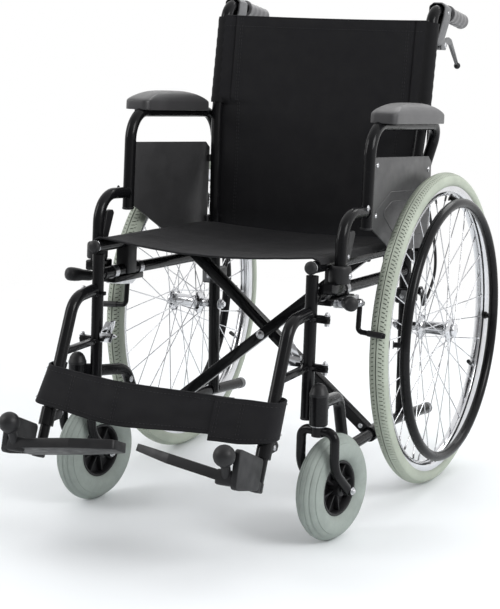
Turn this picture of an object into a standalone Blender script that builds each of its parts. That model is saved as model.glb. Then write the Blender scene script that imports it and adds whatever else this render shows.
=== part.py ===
# Folding wheelchair with a steel cross-brace frame, lift-off desk arms, swing-away footrests and solid tyres.
# Metres, +Z up. The chair faces -Y and the occupant's left is +X. The origin is on the floor, under the
# middle of the chair's bounding box. Heights and widths are real sizes; lengths along Y are given from the
# rear axle, forward negative, and the function "at" puts them in place. The front posts and the armrests
# lean back a few degrees, as the whole frame does.
import math
from math import cos, sin, pi, radians

import bmesh
import bpy
from mathutils import Matrix, Vector

# Driving dimensions of the frame
AXLE_Y = 0.2344
AXLE_Z = 0.305
TUBE_R = 0.011
CANE_R = 0.0115
FRONT_X = 0.2158
FRONT_POST_Z = (0.222, 0.474)
FRONT_FOOT_Y = -0.4630
FRONT_LEAN = radians(2.9)
REAR_X, REAR_Y = 0.2115, -0.002
CANE_X = 0.2240
UPPER_RAIL_Y, UPPER_RAIL_Z = (-0.4515, -0.002), (0.437, 0.414)
LOWER_RAIL_X, LOWER_RAIL_Z = 0.2155, 0.124
SEAT_RAIL_X = 0.2175
SEAT_RAIL_Y = (-0.461, -0.030)
SEAT_RAIL_Z = (0.489, 0.468)
CANE_BEND_Y, CANE_BEND_Z = 0.069, 0.922
HANDLE_Y, HANDLE_Z = 0.234, 0.8903

# Cross brace
BRACE_Y = {"a": -0.166, "b": -0.203}
BRACE_SIZE = 0.0205
BRACE_UPPER_Z = 0.480
SLEEVE_R, SLEEVE_BORE, SLEEVE_LENGTH = 0.0146, 0.0117, 0.046

# Rear wheels
WHEEL_X = 0.2775
WHEEL_R = 0.305
TYRE_WIDTH = 0.034
RIM_R, RIM_WIDTH = 0.277, 0.026
HUB_IN, HUB_OUT = 0.2425, 0.3125
FLANGE_R = 0.024
SPOKES = 36
SPOKE_R = 0.0011
HANDRIM_X, HANDRIM_R, HANDRIM_TUBE = 0.3115, 0.2475, 0.0095

# Casters
STEM_X, STEM_Y = 0.2455, -0.478
HOUSING_R, HOUSING_Z = 0.0165, (0.219, 0.275)
CASTER_R, CASTER_WIDTH = 0.0960, 0.048
CASTER_TRAIL = 0.0470
CASTER_TURN = {"left": radians(9.5), "right": radians(10.0)}
FORK_TUBE = 0.0085
FORK_HALF = 0.0355

# Armrests, leaning back with their legs
ARM_X = 0.2470
ARM_TUBE = 0.0110
ARM_LEAN = radians(4.2)
ARM_LEG, ARM_TOP_REAR = (-0.2790, 0.7225), (0.2482, 0.0560)
ARM_STEP = (-0.3960, 0.5760)
ARM_FOOT_Z, ARM_REAR_FOOT_Z = 0.4620, 0.4450
ARM_REAR_X, ARM_REAR = 0.2280, (0.040, 0.6120)
PANEL_X, PANEL_THICK = 0.2440, 0.0040
PAD_X, PAD_LENGTH, PAD_WIDTH = 0.2550, 0.252, 0.053

# Footrests
PIN_DX, PIN_DY = 0.0307, 0.0005
LUG_Z = (0.4000, 0.3145)
HANGER_X = 0.2148
RAKE = radians(24.3)
HANGER_TOP_Z = 0.410
HANGER_BEND_Y = -0.536
CLAMP_AT, HINGE_AT = 0.2180, 0.2820
FOOT_TUBE_R = 0.0093
PLATE_RISE = radians(22.5)
PLATE_TILT = radians(8.0)
GUARD_X, GUARD_THICK = 0.2215, 0.011

# Parking brakes, at rest pressed against the tyre
BRAKE_PLATE_X = 0.2330
BRAKE_X = 0.2430
BRAKE_PIVOT = (-0.3780, 0.4170)
SHOE_PIVOT = (-0.3010, 0.4030)

# Attendant brakes
BRAKE_BODY_Z = 0.3660
PULLER_PIVOT = (0.2300, 0.0330, 0.3700)

SIDES = {"left": 1, "right": -1}
ROUND = 10
WHEEL_STEPS = 48

LOOKS = {
    "frame": ((0.010, 0.010, 0.012), 0.22, 0.0),
    "steel": ((0.55, 0.56, 0.58), 0.22, 1.0),
    "plastic": ((0.018, 0.018, 0.020), 0.45, 0.0),
    "panel": ((0.040, 0.040, 0.044), 0.40, 0.0),
    "pad": ((0.022, 0.022, 0.024), 0.50, 0.0),
    "nylon": ((0.014, 0.014, 0.016), 0.85, 0.0),
    "tyre": ((0.56, 0.60, 0.50), 0.75, 0.0),
    "caster_tyre": ((0.34, 0.38, 0.35), 0.70, 0.0),
    "rim": ((0.62, 0.62, 0.66), 0.25, 1.0),
    "grip": ((0.030, 0.030, 0.033), 0.55, 0.0),
}


# Helpers

def clear_scene():
    for obj in list(bpy.data.objects):
        bpy.data.objects.remove(obj, do_unlink=True)


def collection(name):
    found = bpy.data.collections.get(name) or bpy.data.collections.new(name)
    if name not in bpy.context.scene.collection.children:
        bpy.context.scene.collection.children.link(found)
    return found


def look(name):
    found = bpy.data.materials.get(name)
    if found:
        return found
    colour, roughness, metallic = LOOKS[name]
    made = bpy.data.materials.new(name)
    made.use_nodes = True
    shader = made.node_tree.nodes["Principled BSDF"]
    shader.inputs["Base Color"].default_value = (*colour, 1.0)
    shader.inputs["Roughness"].default_value = roughness
    shader.inputs["Metallic"].default_value = metallic
    return made


def at(side, x, y, z):
    """A point on one side of the chair: x outward, y from the rear axle, z from the floor."""
    return Vector((side * x, AXLE_Y + y, z))


def side_plane(origin):
    """A placing whose local X is the chair's Y, local Y is up and local Z is the chair's X."""
    o = Vector(origin)
    return Matrix(((0, 0, 1, o.x), (1, 0, 0, o.y), (0, 1, 0, o.z), (0, 0, 0, 1)))


def leant(side, x, y, z, lean):
    """A placing on one side of the chair whose local Z leans back from the upright."""
    return Matrix.Translation(at(side, x, y, z)) @ Matrix.Rotation(-lean, 4, "X")


def add(name, mesh, place=None):
    obj = bpy.data.objects.new(name, mesh)
    collection("Wheelchair").objects.link(obj)
    if place is not None:
        obj.matrix_world = place
    return obj


def frame_on(origin, normal, forward=(0, -1, 0)):
    """A placing whose local Z is the normal and whose local X is as near forward as it can be."""
    z = Vector(normal).normalized()
    y = z.cross(Vector(forward)).normalized()
    x = y.cross(z)
    turn = Matrix((x, y, z)).transposed().to_4x4()
    return Matrix.Translation(Vector(origin)) @ turn


def baked(obj):
    """Turns an object with its modifiers into a plain welded mesh in world space."""
    bpy.context.view_layer.update()
    graph = bpy.context.evaluated_depsgraph_get()
    mesh = bpy.data.meshes.new_from_object(obj.evaluated_get(graph))
    mesh.transform(obj.matrix_world)
    shell = bmesh.new()
    shell.from_mesh(mesh)
    bmesh.ops.remove_doubles(shell, verts=shell.verts, dist=0.00001)
    bmesh.ops.recalc_face_normals(shell, faces=shell.faces)
    shell.to_mesh(mesh)
    shell.free()
    name = obj.name
    bpy.data.objects.remove(obj, do_unlink=True)
    return add(name, mesh)


def rounded(points, radii, step=18):
    """The points of a path or outline with each inner corner turned into an arc."""
    if isinstance(radii, (int, float)):
        radii = [radii] * (len(points) - 2)
    points = [Vector(p) for p in points]
    path = [points[0]]
    for before, corner, after, radius in zip(points, points[1:], points[2:], radii):
        a, b = (before - corner).normalized(), (after - corner).normalized()
        bend = pi - a.angle(b)
        if radius <= 0 or bend < radians(2):
            path.append(corner)
            continue
        reach = radius * math.tan(bend / 2)
        centre = corner + (a + b).normalized() * radius / cos(bend / 2)
        start = corner + a * reach - centre
        end = corner + b * reach - centre
        count = max(2, math.ceil(math.degrees(bend) / step))
        for i in range(count + 1):
            t = i / count
            path.append(centre + (start * sin((1 - t) * bend) + end * sin(t * bend)) / sin(bend))
    return path + [points[-1]]


def ring_outline(points, radius, step=30):
    """A closed outline, in the plane, with every corner rounded."""
    points = [Vector(p) for p in points]
    middle = (points[0] + points[-1]) / 2
    return rounded([middle, *points, middle], radius, step)[:-1]


def tube(name, path, radius, sides=ROUND):
    curve = bpy.data.curves.new(name, "CURVE")
    curve.dimensions = "3D"
    curve.bevel_depth = radius
    curve.bevel_resolution = (sides - 4) // 2
    curve.use_fill_caps = True
    spline = curve.splines.new("POLY")
    spline.points.add(len(path) - 1)
    for point, place in zip(spline.points, path):
        point.co = (*place, 1.0)
    return baked(add(name, curve))


def turned(name, profile, place, steps=WHEEL_STEPS, closed=False):
    """Turns a profile of (radius, height) points, outer side from top to bottom, about the local Z."""
    mesh = bpy.data.meshes.new(name)
    count = len(profile)
    edges = [(i, (i + 1) % count) for i in range(count if closed else count - 1)]
    mesh.from_pydata([(r, 0.0, h) for r, h in profile], edges, [])
    obj = add(name, mesh, place)
    screw = obj.modifiers.new("turn", "SCREW")
    screw.steps = screw.render_steps = steps
    screw.use_merge_vertices = True
    screw.merge_threshold = 0.00001
    return baked(obj)


def rod(name, start, end, radius, steps=ROUND):
    start, end = Vector(start), Vector(end)
    length = (end - start).length
    profile = [(0, length), (radius, length), (radius, 0), (0, 0)]
    forward = (1, 0, 0) if abs((end - start).normalized().x) < 0.9 else (0, 1, 0)
    return turned(name, profile, frame_on(start, end - start, forward), steps)


def flat(name, outline, thickness, place, holes=()):
    """A flat outline as thick as stated, centred on the placing's own plane."""
    curve = bpy.data.curves.new(name, "CURVE")
    curve.dimensions = "2D"
    curve.fill_mode = "BOTH"
    curve.extrude = thickness / 2
    for ring in (outline, *holes):
        spline = curve.splines.new("POLY")
        spline.points.add(len(ring) - 1)
        for point, spot in zip(spline.points, ring):
            point.co = (spot[0], spot[1], 0.0, 1.0)
        spline.use_cyclic_u = True
    return baked(add(name, curve, place))


def block(name, centre, size, bevel=0.0, turn=None):
    shell = bmesh.new()
    bmesh.ops.create_cube(shell, size=1.0)
    bmesh.ops.scale(shell, vec=size, verts=shell.verts)
    mesh = bpy.data.meshes.new(name)
    shell.to_mesh(mesh)
    shell.free()
    place = Matrix.Translation(Vector(centre)) @ (turn.to_4x4() if turn else Matrix())
    obj = add(name, mesh, place)
    if bevel:
        edge = obj.modifiers.new("edges", "BEVEL")
        edge.width = bevel
        edge.segments = 1
    return baked(obj)


def ball(name, centre, radius, steps=10):
    rings = steps // 2
    profile = [(radius * sin(pi * i / rings), radius * cos(pi * i / rings)) for i in range(rings + 1)]
    profile[0], profile[-1] = (0, radius), (0, -radius)
    return turned(name, profile, Matrix.Translation(Vector(centre)), steps)


def circle(radius, count, centre=(0, 0)):
    return [(centre[0] + radius * cos(2 * pi * i / count), centre[1] + radius * sin(2 * pi * i / count))
            for i in range(count)]


def combine(base, others, operation):
    for other in others:
        step = base.modifiers.new("solid", "BOOLEAN")
        step.operation = operation
        step.solver = "EXACT"
        step.object = other
        base = baked(base)
        bpy.data.objects.remove(other, do_unlink=True)
    return base


def union(base, *others):
    return combine(base, others, "UNION")


def cut(base, *others):
    return combine(base, others, "DIFFERENCE")


def group(name, solids):
    """Several separate solids kept in one object."""
    shell = bmesh.new()
    for solid in solids:
        shell.from_mesh(solid.data)
        bpy.data.objects.remove(solid, do_unlink=True)
    mesh = bpy.data.meshes.new(name)
    shell.to_mesh(mesh)
    shell.free()
    return add(name, mesh)


def finish(obj, name, material, smooth=40):
    obj.name = obj.data.name = name
    obj.data.materials.clear()
    obj.data.materials.append(look(material))
    if smooth:
        obj.data.shade_smooth()
        obj.data.set_sharp_from_angle(angle=radians(smooth))
    return obj


def pivot(name, place, parent=None):
    """An empty on a joint's axis, which carries what moves there."""
    empty = bpy.data.objects.new(name, None)
    collection("Wheelchair").objects.link(empty)
    empty.empty_display_size = 0.04
    empty.matrix_world = Matrix.Translation(Vector(place))
    if parent:
        carry(parent, empty)
    return empty


def carry(parent, *objects):
    bpy.context.view_layer.update()
    for obj in objects:
        obj.parent = parent
        obj.matrix_parent_inverse = parent.matrix_world.inverted()


# Side frames

def post_y(z):
    """How far back the front post's centre is at a height."""
    return FRONT_FOOT_Y + (z - FRONT_POST_Z[0]) * math.tan(FRONT_LEAN)


def cane_route(side):
    """The centre line of the post, the cane and its handle."""
    return rounded([
        at(side, REAR_X, REAR_Y, 0.117), at(side, REAR_X, REAR_Y, 0.512), at(side, CANE_X, 0.026, 0.695),
        at(side, CANE_X, CANE_BEND_Y, CANE_BEND_Z), at(side, CANE_X, HANDLE_Y, HANDLE_Z),
    ], [0.10, 0.10, 0.036])


def side_frame(side, name):
    """Side frame: posts, push handle, rails, caster housing, footrest lugs and the fittings on them."""
    front = tube("front", [at(side, FRONT_X, post_y(z), z) for z in FRONT_POST_Z], TUBE_R)
    cane = tube("cane", cane_route(side), CANE_R)
    upper = tube("upper", [at(side, FRONT_X, UPPER_RAIL_Y[0], UPPER_RAIL_Z[0]),
                           at(side, REAR_X, UPPER_RAIL_Y[1], UPPER_RAIL_Z[1])], TUBE_R)
    lower = tube("lower", rounded([
        at(side, STEM_X - 0.004, STEM_Y + 0.008, 0.254), at(side, 0.2225, -0.343, 0.236),
        at(side, LOWER_RAIL_X, -0.296, LOWER_RAIL_Z), at(side, LOWER_RAIL_X, -0.040, LOWER_RAIL_Z),
        at(side, LOWER_RAIL_X, 0.136, 0.106),
    ], [0.036, 0.036, 0.15]), 0.0108)
    low, high = HOUSING_Z
    housing = turned("housing", [
        (0, high + 0.0175), (0.0075, high + 0.0158), (0.0130, high + 0.0095), (HOUSING_R, high),
        (HOUSING_R, low), (0, low),
    ], Matrix.Translation(at(side, STEM_X, STEM_Y, 0)), 12)
    foot = post_y(0.248)
    web = block("web", at(side, (FRONT_X + STEM_X) / 2, (foot + STEM_Y) / 2, 0.248), (0.022, 0.010, 0.046),
                turn=Matrix.Rotation(side * math.atan2(STEM_Y - foot, STEM_X - FRONT_X), 3, "Z"))
    frame = union(cane, upper, lower, front, housing, web)
    for z in LUG_Z:
        place = leant(side, FRONT_X, post_y(z), z, FRONT_LEAN)
        for tine in (-0.0045, 0.0045):
            middle = place @ Vector((side * (PIN_DX + 0.0120) / 2, PIN_DY, tine))
            lug = block("lug", middle, (PIN_DX - 0.0010, 0.0130, 0.0036),
                        turn=Matrix.Rotation(-FRONT_LEAN, 3, "X"))
            frame = union(frame, lug)
        pin = turned("pin", [(0, 0.0115), (0.0050, 0.0115), (0.0050, 0.0058), (0.0030, 0.0058),
                             (0.0030, -0.0058), (0.0050, -0.0058), (0.0050, -0.0115), (0, -0.0115)],
                     place @ Matrix.Translation((side * PIN_DX, PIN_DY, 0)), 6)
        frame = union(frame, pin)
    shelf = block("shelf", at(side, 0.2370, -0.4150, 0.4480), (0.026, 0.056, 0.0195),
                  turn=Matrix.Rotation(-ARM_LEAN, 3, "X"))
    stem_bore = rod("bore", at(side, STEM_X, STEM_Y, low - 0.01), at(side, STEM_X, STEM_Y, low + 0.050),
                    0.0066, 10)
    axle_bore = rod("bore", at(side, REAR_X - 0.03, 0, AXLE_Z), at(side, REAR_X + 0.03, 0, AXLE_Z), 0.0068, 10)
    frame = cut(union(frame, shelf, *frame_fittings(side)), stem_bore, axle_bore)
    return finish(frame, name + "_side_frame", "frame")


def rail_z(y):
    t = (y - UPPER_RAIL_Y[0]) / (UPPER_RAIL_Y[1] - UPPER_RAIL_Y[0])
    return UPPER_RAIL_Z[0] + (UPPER_RAIL_Z[1] - UPPER_RAIL_Z[0]) * t


def rail_x(y):
    t = (y - UPPER_RAIL_Y[0]) / (UPPER_RAIL_Y[1] - UPPER_RAIL_Y[0])
    return FRONT_X + (REAR_X - FRONT_X) * t


def seat_rail_z(y):
    t = (y - SEAT_RAIL_Y[0]) / (SEAT_RAIL_Y[1] - SEAT_RAIL_Y[0])
    return SEAT_RAIL_Z[0] + (SEAT_RAIL_Z[1] - SEAT_RAIL_Z[0]) * t


def seat_rail_rod(side, y, reach, radius):
    return rod("seat", at(side, SEAT_RAIL_X, y - reach, seat_rail_z(y - reach)),
               at(side, SEAT_RAIL_X, y + reach, seat_rail_z(y + reach)), radius, 14)


def saddle(side, y):
    """Cradle on the upper rail, in which the seat rail rests."""
    slope = math.atan2(UPPER_RAIL_Z[1] - UPPER_RAIL_Z[0], UPPER_RAIL_Y[1] - UPPER_RAIL_Y[0])
    body = block("saddle", at(side, rail_x(y), y, (rail_z(y) + seat_rail_z(y)) / 2 - 0.005),
                 (0.0275, 0.032, 0.056), 0.002, Matrix.Rotation(slope, 3, "X"))
    mouth = block("mouth", at(side, SEAT_RAIL_X, y, seat_rail_z(y) + 0.02), (0.0230, 0.06, 0.04))
    return cut(body, seat_rail_rod(side, y, 0.04, TUBE_R + 0.0005), mouth)


def socket(side, y, foot, ring):
    """Ring in which a leg of the armrest stands."""
    return turned("socket", [(ARM_TUBE + 0.0009, ring), (0.0170, ring), (0.0195, ring - 0.003), (0.0195, 0.004),
                             (0.0170, 0.0), (ARM_TUBE + 0.0009, 0.0)],
                  leant(side, ARM_X, y, foot, ARM_LEAN), 12, closed=True)


def leg_y(z, at_y, at_z):
    """Where a leaning arm leg is at a height."""
    return at_y + (z - at_z) * math.tan(ARM_LEAN)


def frame_fittings(side):
    """The seat rail's cradles, the arm's sockets and the attendant brake's body."""
    front_y = leg_y(0.456, *ARM_STEP)
    front = cut(socket(side, front_y, 0.4560, 0.0315), seat_rail_rod(side, front_y, 0.05, TUBE_R + 0.0008))
    rear_y = leg_y(0.431, *ARM_REAR)
    ring = turned("socket", [(ARM_TUBE + 0.0009, 0.026), (0.0137, 0.026), (0.0137, 0.0), (ARM_TUBE + 0.0009, 0.0)],
                  leant(side, ARM_REAR_X, rear_y, 0.4310, ARM_LEAN), 12, closed=True)
    across, back = ARM_REAR_X - REAR_X, leg_y(0.444, *ARM_REAR) - REAR_Y
    share = (math.hypot(across, back) - ARM_TUBE - 0.0009) / math.hypot(across, back) / 2
    link = block("link", at(side, REAR_X + across * share, REAR_Y + back * share, 0.4440),
                 (0.0150, 2 * share * math.hypot(across, back), 0.018),
                 turn=Matrix.Rotation(-side * math.atan2(across, back), 3, "Z"))
    body = block("body", at(side, REAR_X + 0.0030, REAR_Y + 0.0060, BRAKE_BODY_Z), (0.034, 0.050, 0.030), 0.004)
    slot = block("slot", at(side, PULLER_PIVOT[0], PULLER_PIVOT[1] + 0.008, BRAKE_BODY_Z), (0.0070, 0.05, 0.05))
    return [saddle(side, -0.352), saddle(side, -0.075), front, union(ring, link), cut(body, slot)]


def handle_direction():
    return Vector((0, HANDLE_Y - CANE_BEND_Y, HANDLE_Z - CANE_BEND_Z)).normalized()


def handle_point(side, y):
    along = handle_direction()
    return at(side, CANE_X, y, CANE_BEND_Z + (y - CANE_BEND_Y) * along.z / along.y)


def push_grip(side, name):
    """Moulded grip over the handle end, with finger grooves beneath and a rounded end."""
    along = handle_direction()
    start = handle_point(side, 0.1440)
    length = (at(side, CANE_X, HANDLE_Y, HANDLE_Z) - start).length + 0.006
    profile = [(0, length), (0.0110, length - 0.001), (0.0147, length - 0.006)]
    waves = 4
    for i in range(waves * 2 + 1):
        profile.append((0.0154 - 0.0010 * (i % 2), length - 0.012 - (length - 0.022) * i / (waves * 2)))
    profile += [(0.0176, 0.006), (0.0176, 0.0), (0, 0)]
    grip = turned("grip", profile, frame_on(start, along, (1, 0, 0)), 12)
    hole = rod("hole", start - along * 0.01, at(side, CANE_X, HANDLE_Y, HANDLE_Z) + along * 0.0006,
               CANE_R + 0.0004, 12)
    return finish(cut(grip, hole), name + "_push_grip", "grip")


def brake_lever_clamp(side, name):
    """Teardrop housing clamped round the handle's root, with a forked lug for the attendant's lever."""
    middle = handle_point(side, 0.1080)
    shell = flat("shell", ring_outline([
        (-0.0175, -0.0070), (-0.0090, -0.0140), (0.0090, -0.0140), (0.0175, -0.0070), (0.0175, 0.0120),
        (0.0090, 0.0540), (0.0065, 0.0670), (-0.0065, 0.0670), (-0.0090, 0.0540), (-0.0175, 0.0120),
    ], 0.003, 60), 0.0340, frame_on(middle, handle_direction(), (1, 0, 0)))
    hub = lever_pivot(side)
    lug = flat("lug", ring_outline([(-0.0220, 0.0120), (0.0060, 0.0110), (0.0090, 0.0), (0.0040, -0.0095),
                                    (-0.0240, -0.0080)], 0.002, 60), 0.0130, side_plane(hub))
    slot = block("slot", hub + Vector((0, 0.017, -0.002)), (0.0062, 0.058, 0.060))
    hole = tube("hole", cane_route(side), CANE_R + 0.0004)
    pin = rod("pin", hub - Vector((0.005, 0, 0)), hub + Vector((0.005, 0, 0)), 0.0022, 6)
    return finish(union(cut(union(shell, lug), hole, slot), pin), name + "_lever_clamp", "plastic")


def lever_pivot(side):
    return at(side, CANE_X, 0.1260, 0.8468)


def brake_hand_lever(side, name):
    """Attendant's lever: a flat curved blade with a ball end."""
    hub = lever_pivot(side)
    blade = flat("blade", ring_outline([
        (-0.007, -0.006), (-0.005, 0.008), (0.030, 0.0150), (0.046, 0.0100), (0.0905, -0.0400),
        (0.0860, -0.0435), (0.040, 0.0000), (0.020, 0.0020),
    ], 0.002, 60), 0.0052, side_plane(hub))
    end = ball("end", hub + Vector((0, 0.0900, -0.0440)), 0.0066, 8)
    hole = rod("hole", hub - Vector((0.01, 0, 0)), hub + Vector((0.01, 0, 0)), 0.0026, 8)
    return finish(cut(union(blade, end), hole), name + "_brake_hand_lever", "plastic")


def brake_cable(side, name):
    """Cable from the hand lever's housing down behind the cane to the attendant brake."""
    route = [
        at(side, 0.2230, 0.0760, 0.8540), at(side, 0.2215, 0.0730, 0.8420), at(side, 0.2195, 0.0700, 0.8200),
        at(side, 0.2180, 0.0650, 0.7800), at(side, 0.2175, 0.0590, 0.7400), at(side, 0.2175, 0.0560, 0.7000),
        at(side, 0.2180, 0.0560, 0.6400), at(side, 0.2190, 0.0620, 0.5800), at(side, 0.2260, 0.0800, 0.5200),
        at(side, 0.2310, 0.0980, 0.4650), at(side, 0.2330, 0.1060, 0.4200), at(side, 0.2330, 0.1000, 0.3880),
        at(side, 0.2310, 0.0780, 0.3560), at(side, 0.2300, 0.0590, 0.3420),
    ]
    curve = bpy.data.curves.new(name, "CURVE")
    curve.dimensions = "3D"
    spline = curve.splines.new("NURBS")
    spline.points.add(len(route) - 1)
    for point, spot in zip(spline.points, route):
        point.co = (*spot, 1.0)
    spline.use_endpoint_u = True
    spline.order_u = 4
    spline.resolution_u = 2
    curve.bevel_depth = 0.0025
    curve.bevel_resolution = 1
    curve.use_fill_caps = True
    return finish(baked(add(name, curve)), name + "_brake_cable", "plastic")


def wheel_brake(side, name):
    """Attendant brake arm, which the cable swings in the brake body behind the rear post."""
    hub = at(side, *PULLER_PIVOT)
    arm = flat("arm", ring_outline([(-0.007, -0.006), (-0.007, 0.007), (0.006, 0.008), (0.024, -0.012),
                                    (0.0220, -0.0340), (0.0140, -0.0340), (0.010, -0.014)], 0.003, 60), 0.0060,
               side_plane(hub))
    return finish(arm, name + "_wheel_brake", "frame")


# Rear wheels

def wheel_place(side, x=0.0):
    return frame_on(at(side, x, 0, AXLE_Z), (side, 0, 0), (0, -1, 0))


def tyre(side, name):
    """Solid tyre seated in the rim."""
    half = TYRE_WIDTH / 2
    bead = RIM_R + 0.0010
    profile = [
        (bead, half - 0.004), (bead + 0.012, half), (WHEEL_R - 0.0065, half - 0.0030), (WHEEL_R, 0.0065),
        (WHEEL_R, -0.0065), (WHEEL_R - 0.0065, 0.0030 - half), (bead + 0.012, -half), (bead, 0.004 - half),
    ]
    return finish(turned("tyre", profile, wheel_place(side, WHEEL_X), closed=True), name + "_tyre", "tyre")


def rim(side, name):
    """Box-section rim with a sunken well between its side walls."""
    half = RIM_WIDTH / 2
    profile = [
        (RIM_R, half), (RIM_R, -half), (RIM_R - 0.010, -half), (RIM_R - 0.0175, -0.0050),
        (RIM_R - 0.0175, 0.0050), (RIM_R - 0.010, half),
    ]
    return finish(turned("rim", profile, wheel_place(side, WHEEL_X), closed=True), name + "_rim", "rim")


def hub(side, name):
    """Flanged hub shell with its laced spokes."""
    near, far = HUB_IN, HUB_OUT
    profile = [
        (0.0072, far), (0.0150, far), (FLANGE_R, far - 0.0040), (FLANGE_R, far - 0.0070),
        (0.0130, far - 0.0110), (0.0130, near + 0.0105), (FLANGE_R, near + 0.0065),
        (FLANGE_R, near + 0.0035), (0.0150, near), (0.0072, near),
    ]
    shell = turned("shell", profile, wheel_place(side), 14, closed=True)
    spokes = []
    for index in range(SPOKES):
        outer = index % 2
        pair = index // 2
        flange_x = far - 0.0055 if outer else near + 0.0050
        lead = radians(62) * (1 if pair % 2 else -1)
        end_angle = 2 * pi * (index + 0.5) / SPOKES
        hub_angle = end_angle + lead
        reach_in, reach_out = FLANGE_R - 0.0030, RIM_R - 0.0182
        offset = 0.0006 if pair % 2 else -0.0006
        start = at(side, flange_x + offset * 2, reach_in * sin(hub_angle), AXLE_Z + reach_in * cos(hub_angle))
        end = at(side, WHEEL_X + (-0.001 if outer else 0.004), reach_out * sin(end_angle),
                 AXLE_Z + reach_out * cos(end_angle))
        spokes.append(rod("spoke", start, end, SPOKE_R, 3))
    return finish(union(shell, *spokes), name + "_hub", "rim")


def handrim(side, name):
    """Push rim on four stand-offs that reach in to the wheel rim."""
    ring = turned("ring", [
        (HANDRIM_R + HANDRIM_TUBE * cos(2 * pi * i / 7), -HANDRIM_TUBE * sin(2 * pi * i / 7))
        for i in range(7)
    ], wheel_place(side, HANDRIM_X), 44, closed=True)
    posts = []
    for quarter in range(4):
        angle = pi / 2 * quarter + radians(4)
        outward = Vector((0, sin(angle), cos(angle)))
        centre = at(side, 0, 0, AXLE_Z)
        inner = centre + Vector((side * (WHEEL_X + 0.0137), 0, 0)) + outward * (RIM_R - 0.0190)
        outer = centre + Vector((side * HANDRIM_X, 0, 0)) + outward * (HANDRIM_R + 0.002)
        posts.append(rod("post", inner, outer, 0.0052, 6))
    return finish(union(ring, *posts), name + "_handrim", "frame")


def axle(side, name):
    """Axle bolt through the post and hub, with its inboard nut, spacer and outer cap."""
    profile = [
        (0, 0.3205), (0.0115, 0.3192), (0.0138, 0.3160), (0.0138, 0.3129), (0.0062, 0.3129), (0.0062, 0.2418),
        (0.0090, 0.2418), (0.0090, 0.2236), (0.0062, 0.2236), (0.0062, 0.1990), (0.0095, 0.1990),
        (0.0095, 0.1925), (0.0050, 0.1925), (0.0050, 0.1880), (0, 0.1880),
    ]
    return finish(turned("axle", profile, wheel_place(side), 10), name + "_axle", "steel")


# Casters

def caster_vectors(side, name):
    turn = CASTER_TURN[name]
    back = Vector((sin(turn), cos(turn), 0))
    across = Vector((cos(turn), -sin(turn), 0))
    centre = at(side, STEM_X, STEM_Y, CASTER_R) + back * CASTER_TRAIL
    return back, across, centre


def caster_fork(side, name):
    """Bent-tube fork: a flat crown, two legs swept back to the axle, the stem and the axle bolt."""
    back, across, centre = caster_vectors(side, name)
    top = at(side, STEM_X, STEM_Y, HOUSING_Z[0] - 0.0115)
    up = Vector((0, 0, 1))
    legs = []
    for sign in (-1, 1):
        reach = across * sign * FORK_HALF
        legs.append([centre + reach - up * 0.004 + back * 0.003,
                     top + reach - up * 0.066 - back * 0.001, top + reach * 0.98 + up * 0.001])
    route = rounded([*legs[0], *reversed(legs[1])], [0.05, 0.016, 0.016, 0.05], 30)
    fork = tube("fork", route, FORK_TUBE, 8)
    stem = turned("stem", [(0, 0.052), (0.0060, 0.052), (0.0060, 0.0112), (0.0130, 0.0110), (0.0130, 0.0),
                           (0, 0.0)], Matrix.Translation(top), 10)
    bolt = rod("bolt", centre - across * (FORK_HALF + 0.0105), centre + across * (FORK_HALF + 0.0105), 0.0042, 6)
    return finish(union(fork, stem, bolt), name + "_caster_fork", "frame")


def caster_tyre(side, name):
    """Solid caster tyre."""
    back, across, centre = caster_vectors(side, name)
    half = CASTER_WIDTH / 2
    profile = [
        (0.0505, half - 0.009), (0.0620, half - 0.002), (0.0790, half - 0.0010), (0.0900, half - 0.0090),
        (CASTER_R, 0.0050), (CASTER_R, -0.0050), (0.0900, 0.0090 - half), (0.0790, 0.0010 - half),
        (0.0620, 0.002 - half), (0.0505, 0.009 - half),
    ]
    return finish(turned("tyre", profile, frame_on(centre, across, (0, 0, 1)), 28, closed=True),
                  name + "_caster_tyre", "caster_tyre")


def caster_wheel(side, name):
    """Moulded caster centre: a rim band, a bored boss and eight radial webs."""
    back, across, centre = caster_vectors(side, name)
    place = frame_on(centre, across, (0, 0, 1))
    wheel = turned("band", [(0.0500, 0.0150), (0.0500, -0.0150), (0.0440, -0.0150), (0.0440, 0.0150)],
                   place, 24, closed=True)
    boss = turned("boss", [(0.0050, 0.0225), (0.0140, 0.0225), (0.0140, -0.0225), (0.0050, -0.0225)],
                  place, 10, closed=True)
    webs = []
    for i in range(8):
        turn = place @ Matrix.Rotation(2 * pi * i / 8 + radians(11), 4, "Z")
        webs.append(block("web", turn @ Vector((0.0285, 0, 0)), (0.0325, 0.0032, 0.022), turn=turn.to_3x3()))
    return finish(union(wheel, boss, *webs), name + "_caster_wheel", "plastic")


# Armrests

def arm_loop(side):
    """The centre line of the arm's loop, from the front leg over the top to the rear leg's foot."""
    y, z = ARM_LEG
    top_x, top_y = ARM_TOP_REAR
    fall = math.tan(ARM_LEAN)
    return rounded([
        at(side, ARM_X, leg_y(0.537, y, z), 0.537), at(side, ARM_X, y, z),
        at(side, top_x, top_y, z - (top_y - y) * fall), at(side, ARM_REAR_X, *ARM_REAR),
        at(side, ARM_REAR_X, leg_y(ARM_REAR_FOOT_Z, *ARM_REAR), ARM_REAR_FOOT_Z),
    ], [0.055, 0.036, 0.06])


def arm_tube(side, name):
    """Desk-length arm: a bent loop under the pad, stepped down in front and drawn in behind the post."""
    y, z = ARM_STEP
    join = leg_y(z, *ARM_LEG) + 0.002
    loop = tube("loop", arm_loop(side), ARM_TUBE)
    step = tube("step", rounded([
        at(side, ARM_X, join, z - (join - y) * math.tan(ARM_LEAN)), at(side, ARM_X, y, z),
        at(side, ARM_X, leg_y(ARM_FOOT_Z, y, z), ARM_FOOT_Z),
    ], 0.052), ARM_TUBE - 0.0004)
    return finish(union(loop, step), name + "_arm_tube", "frame")


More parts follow.
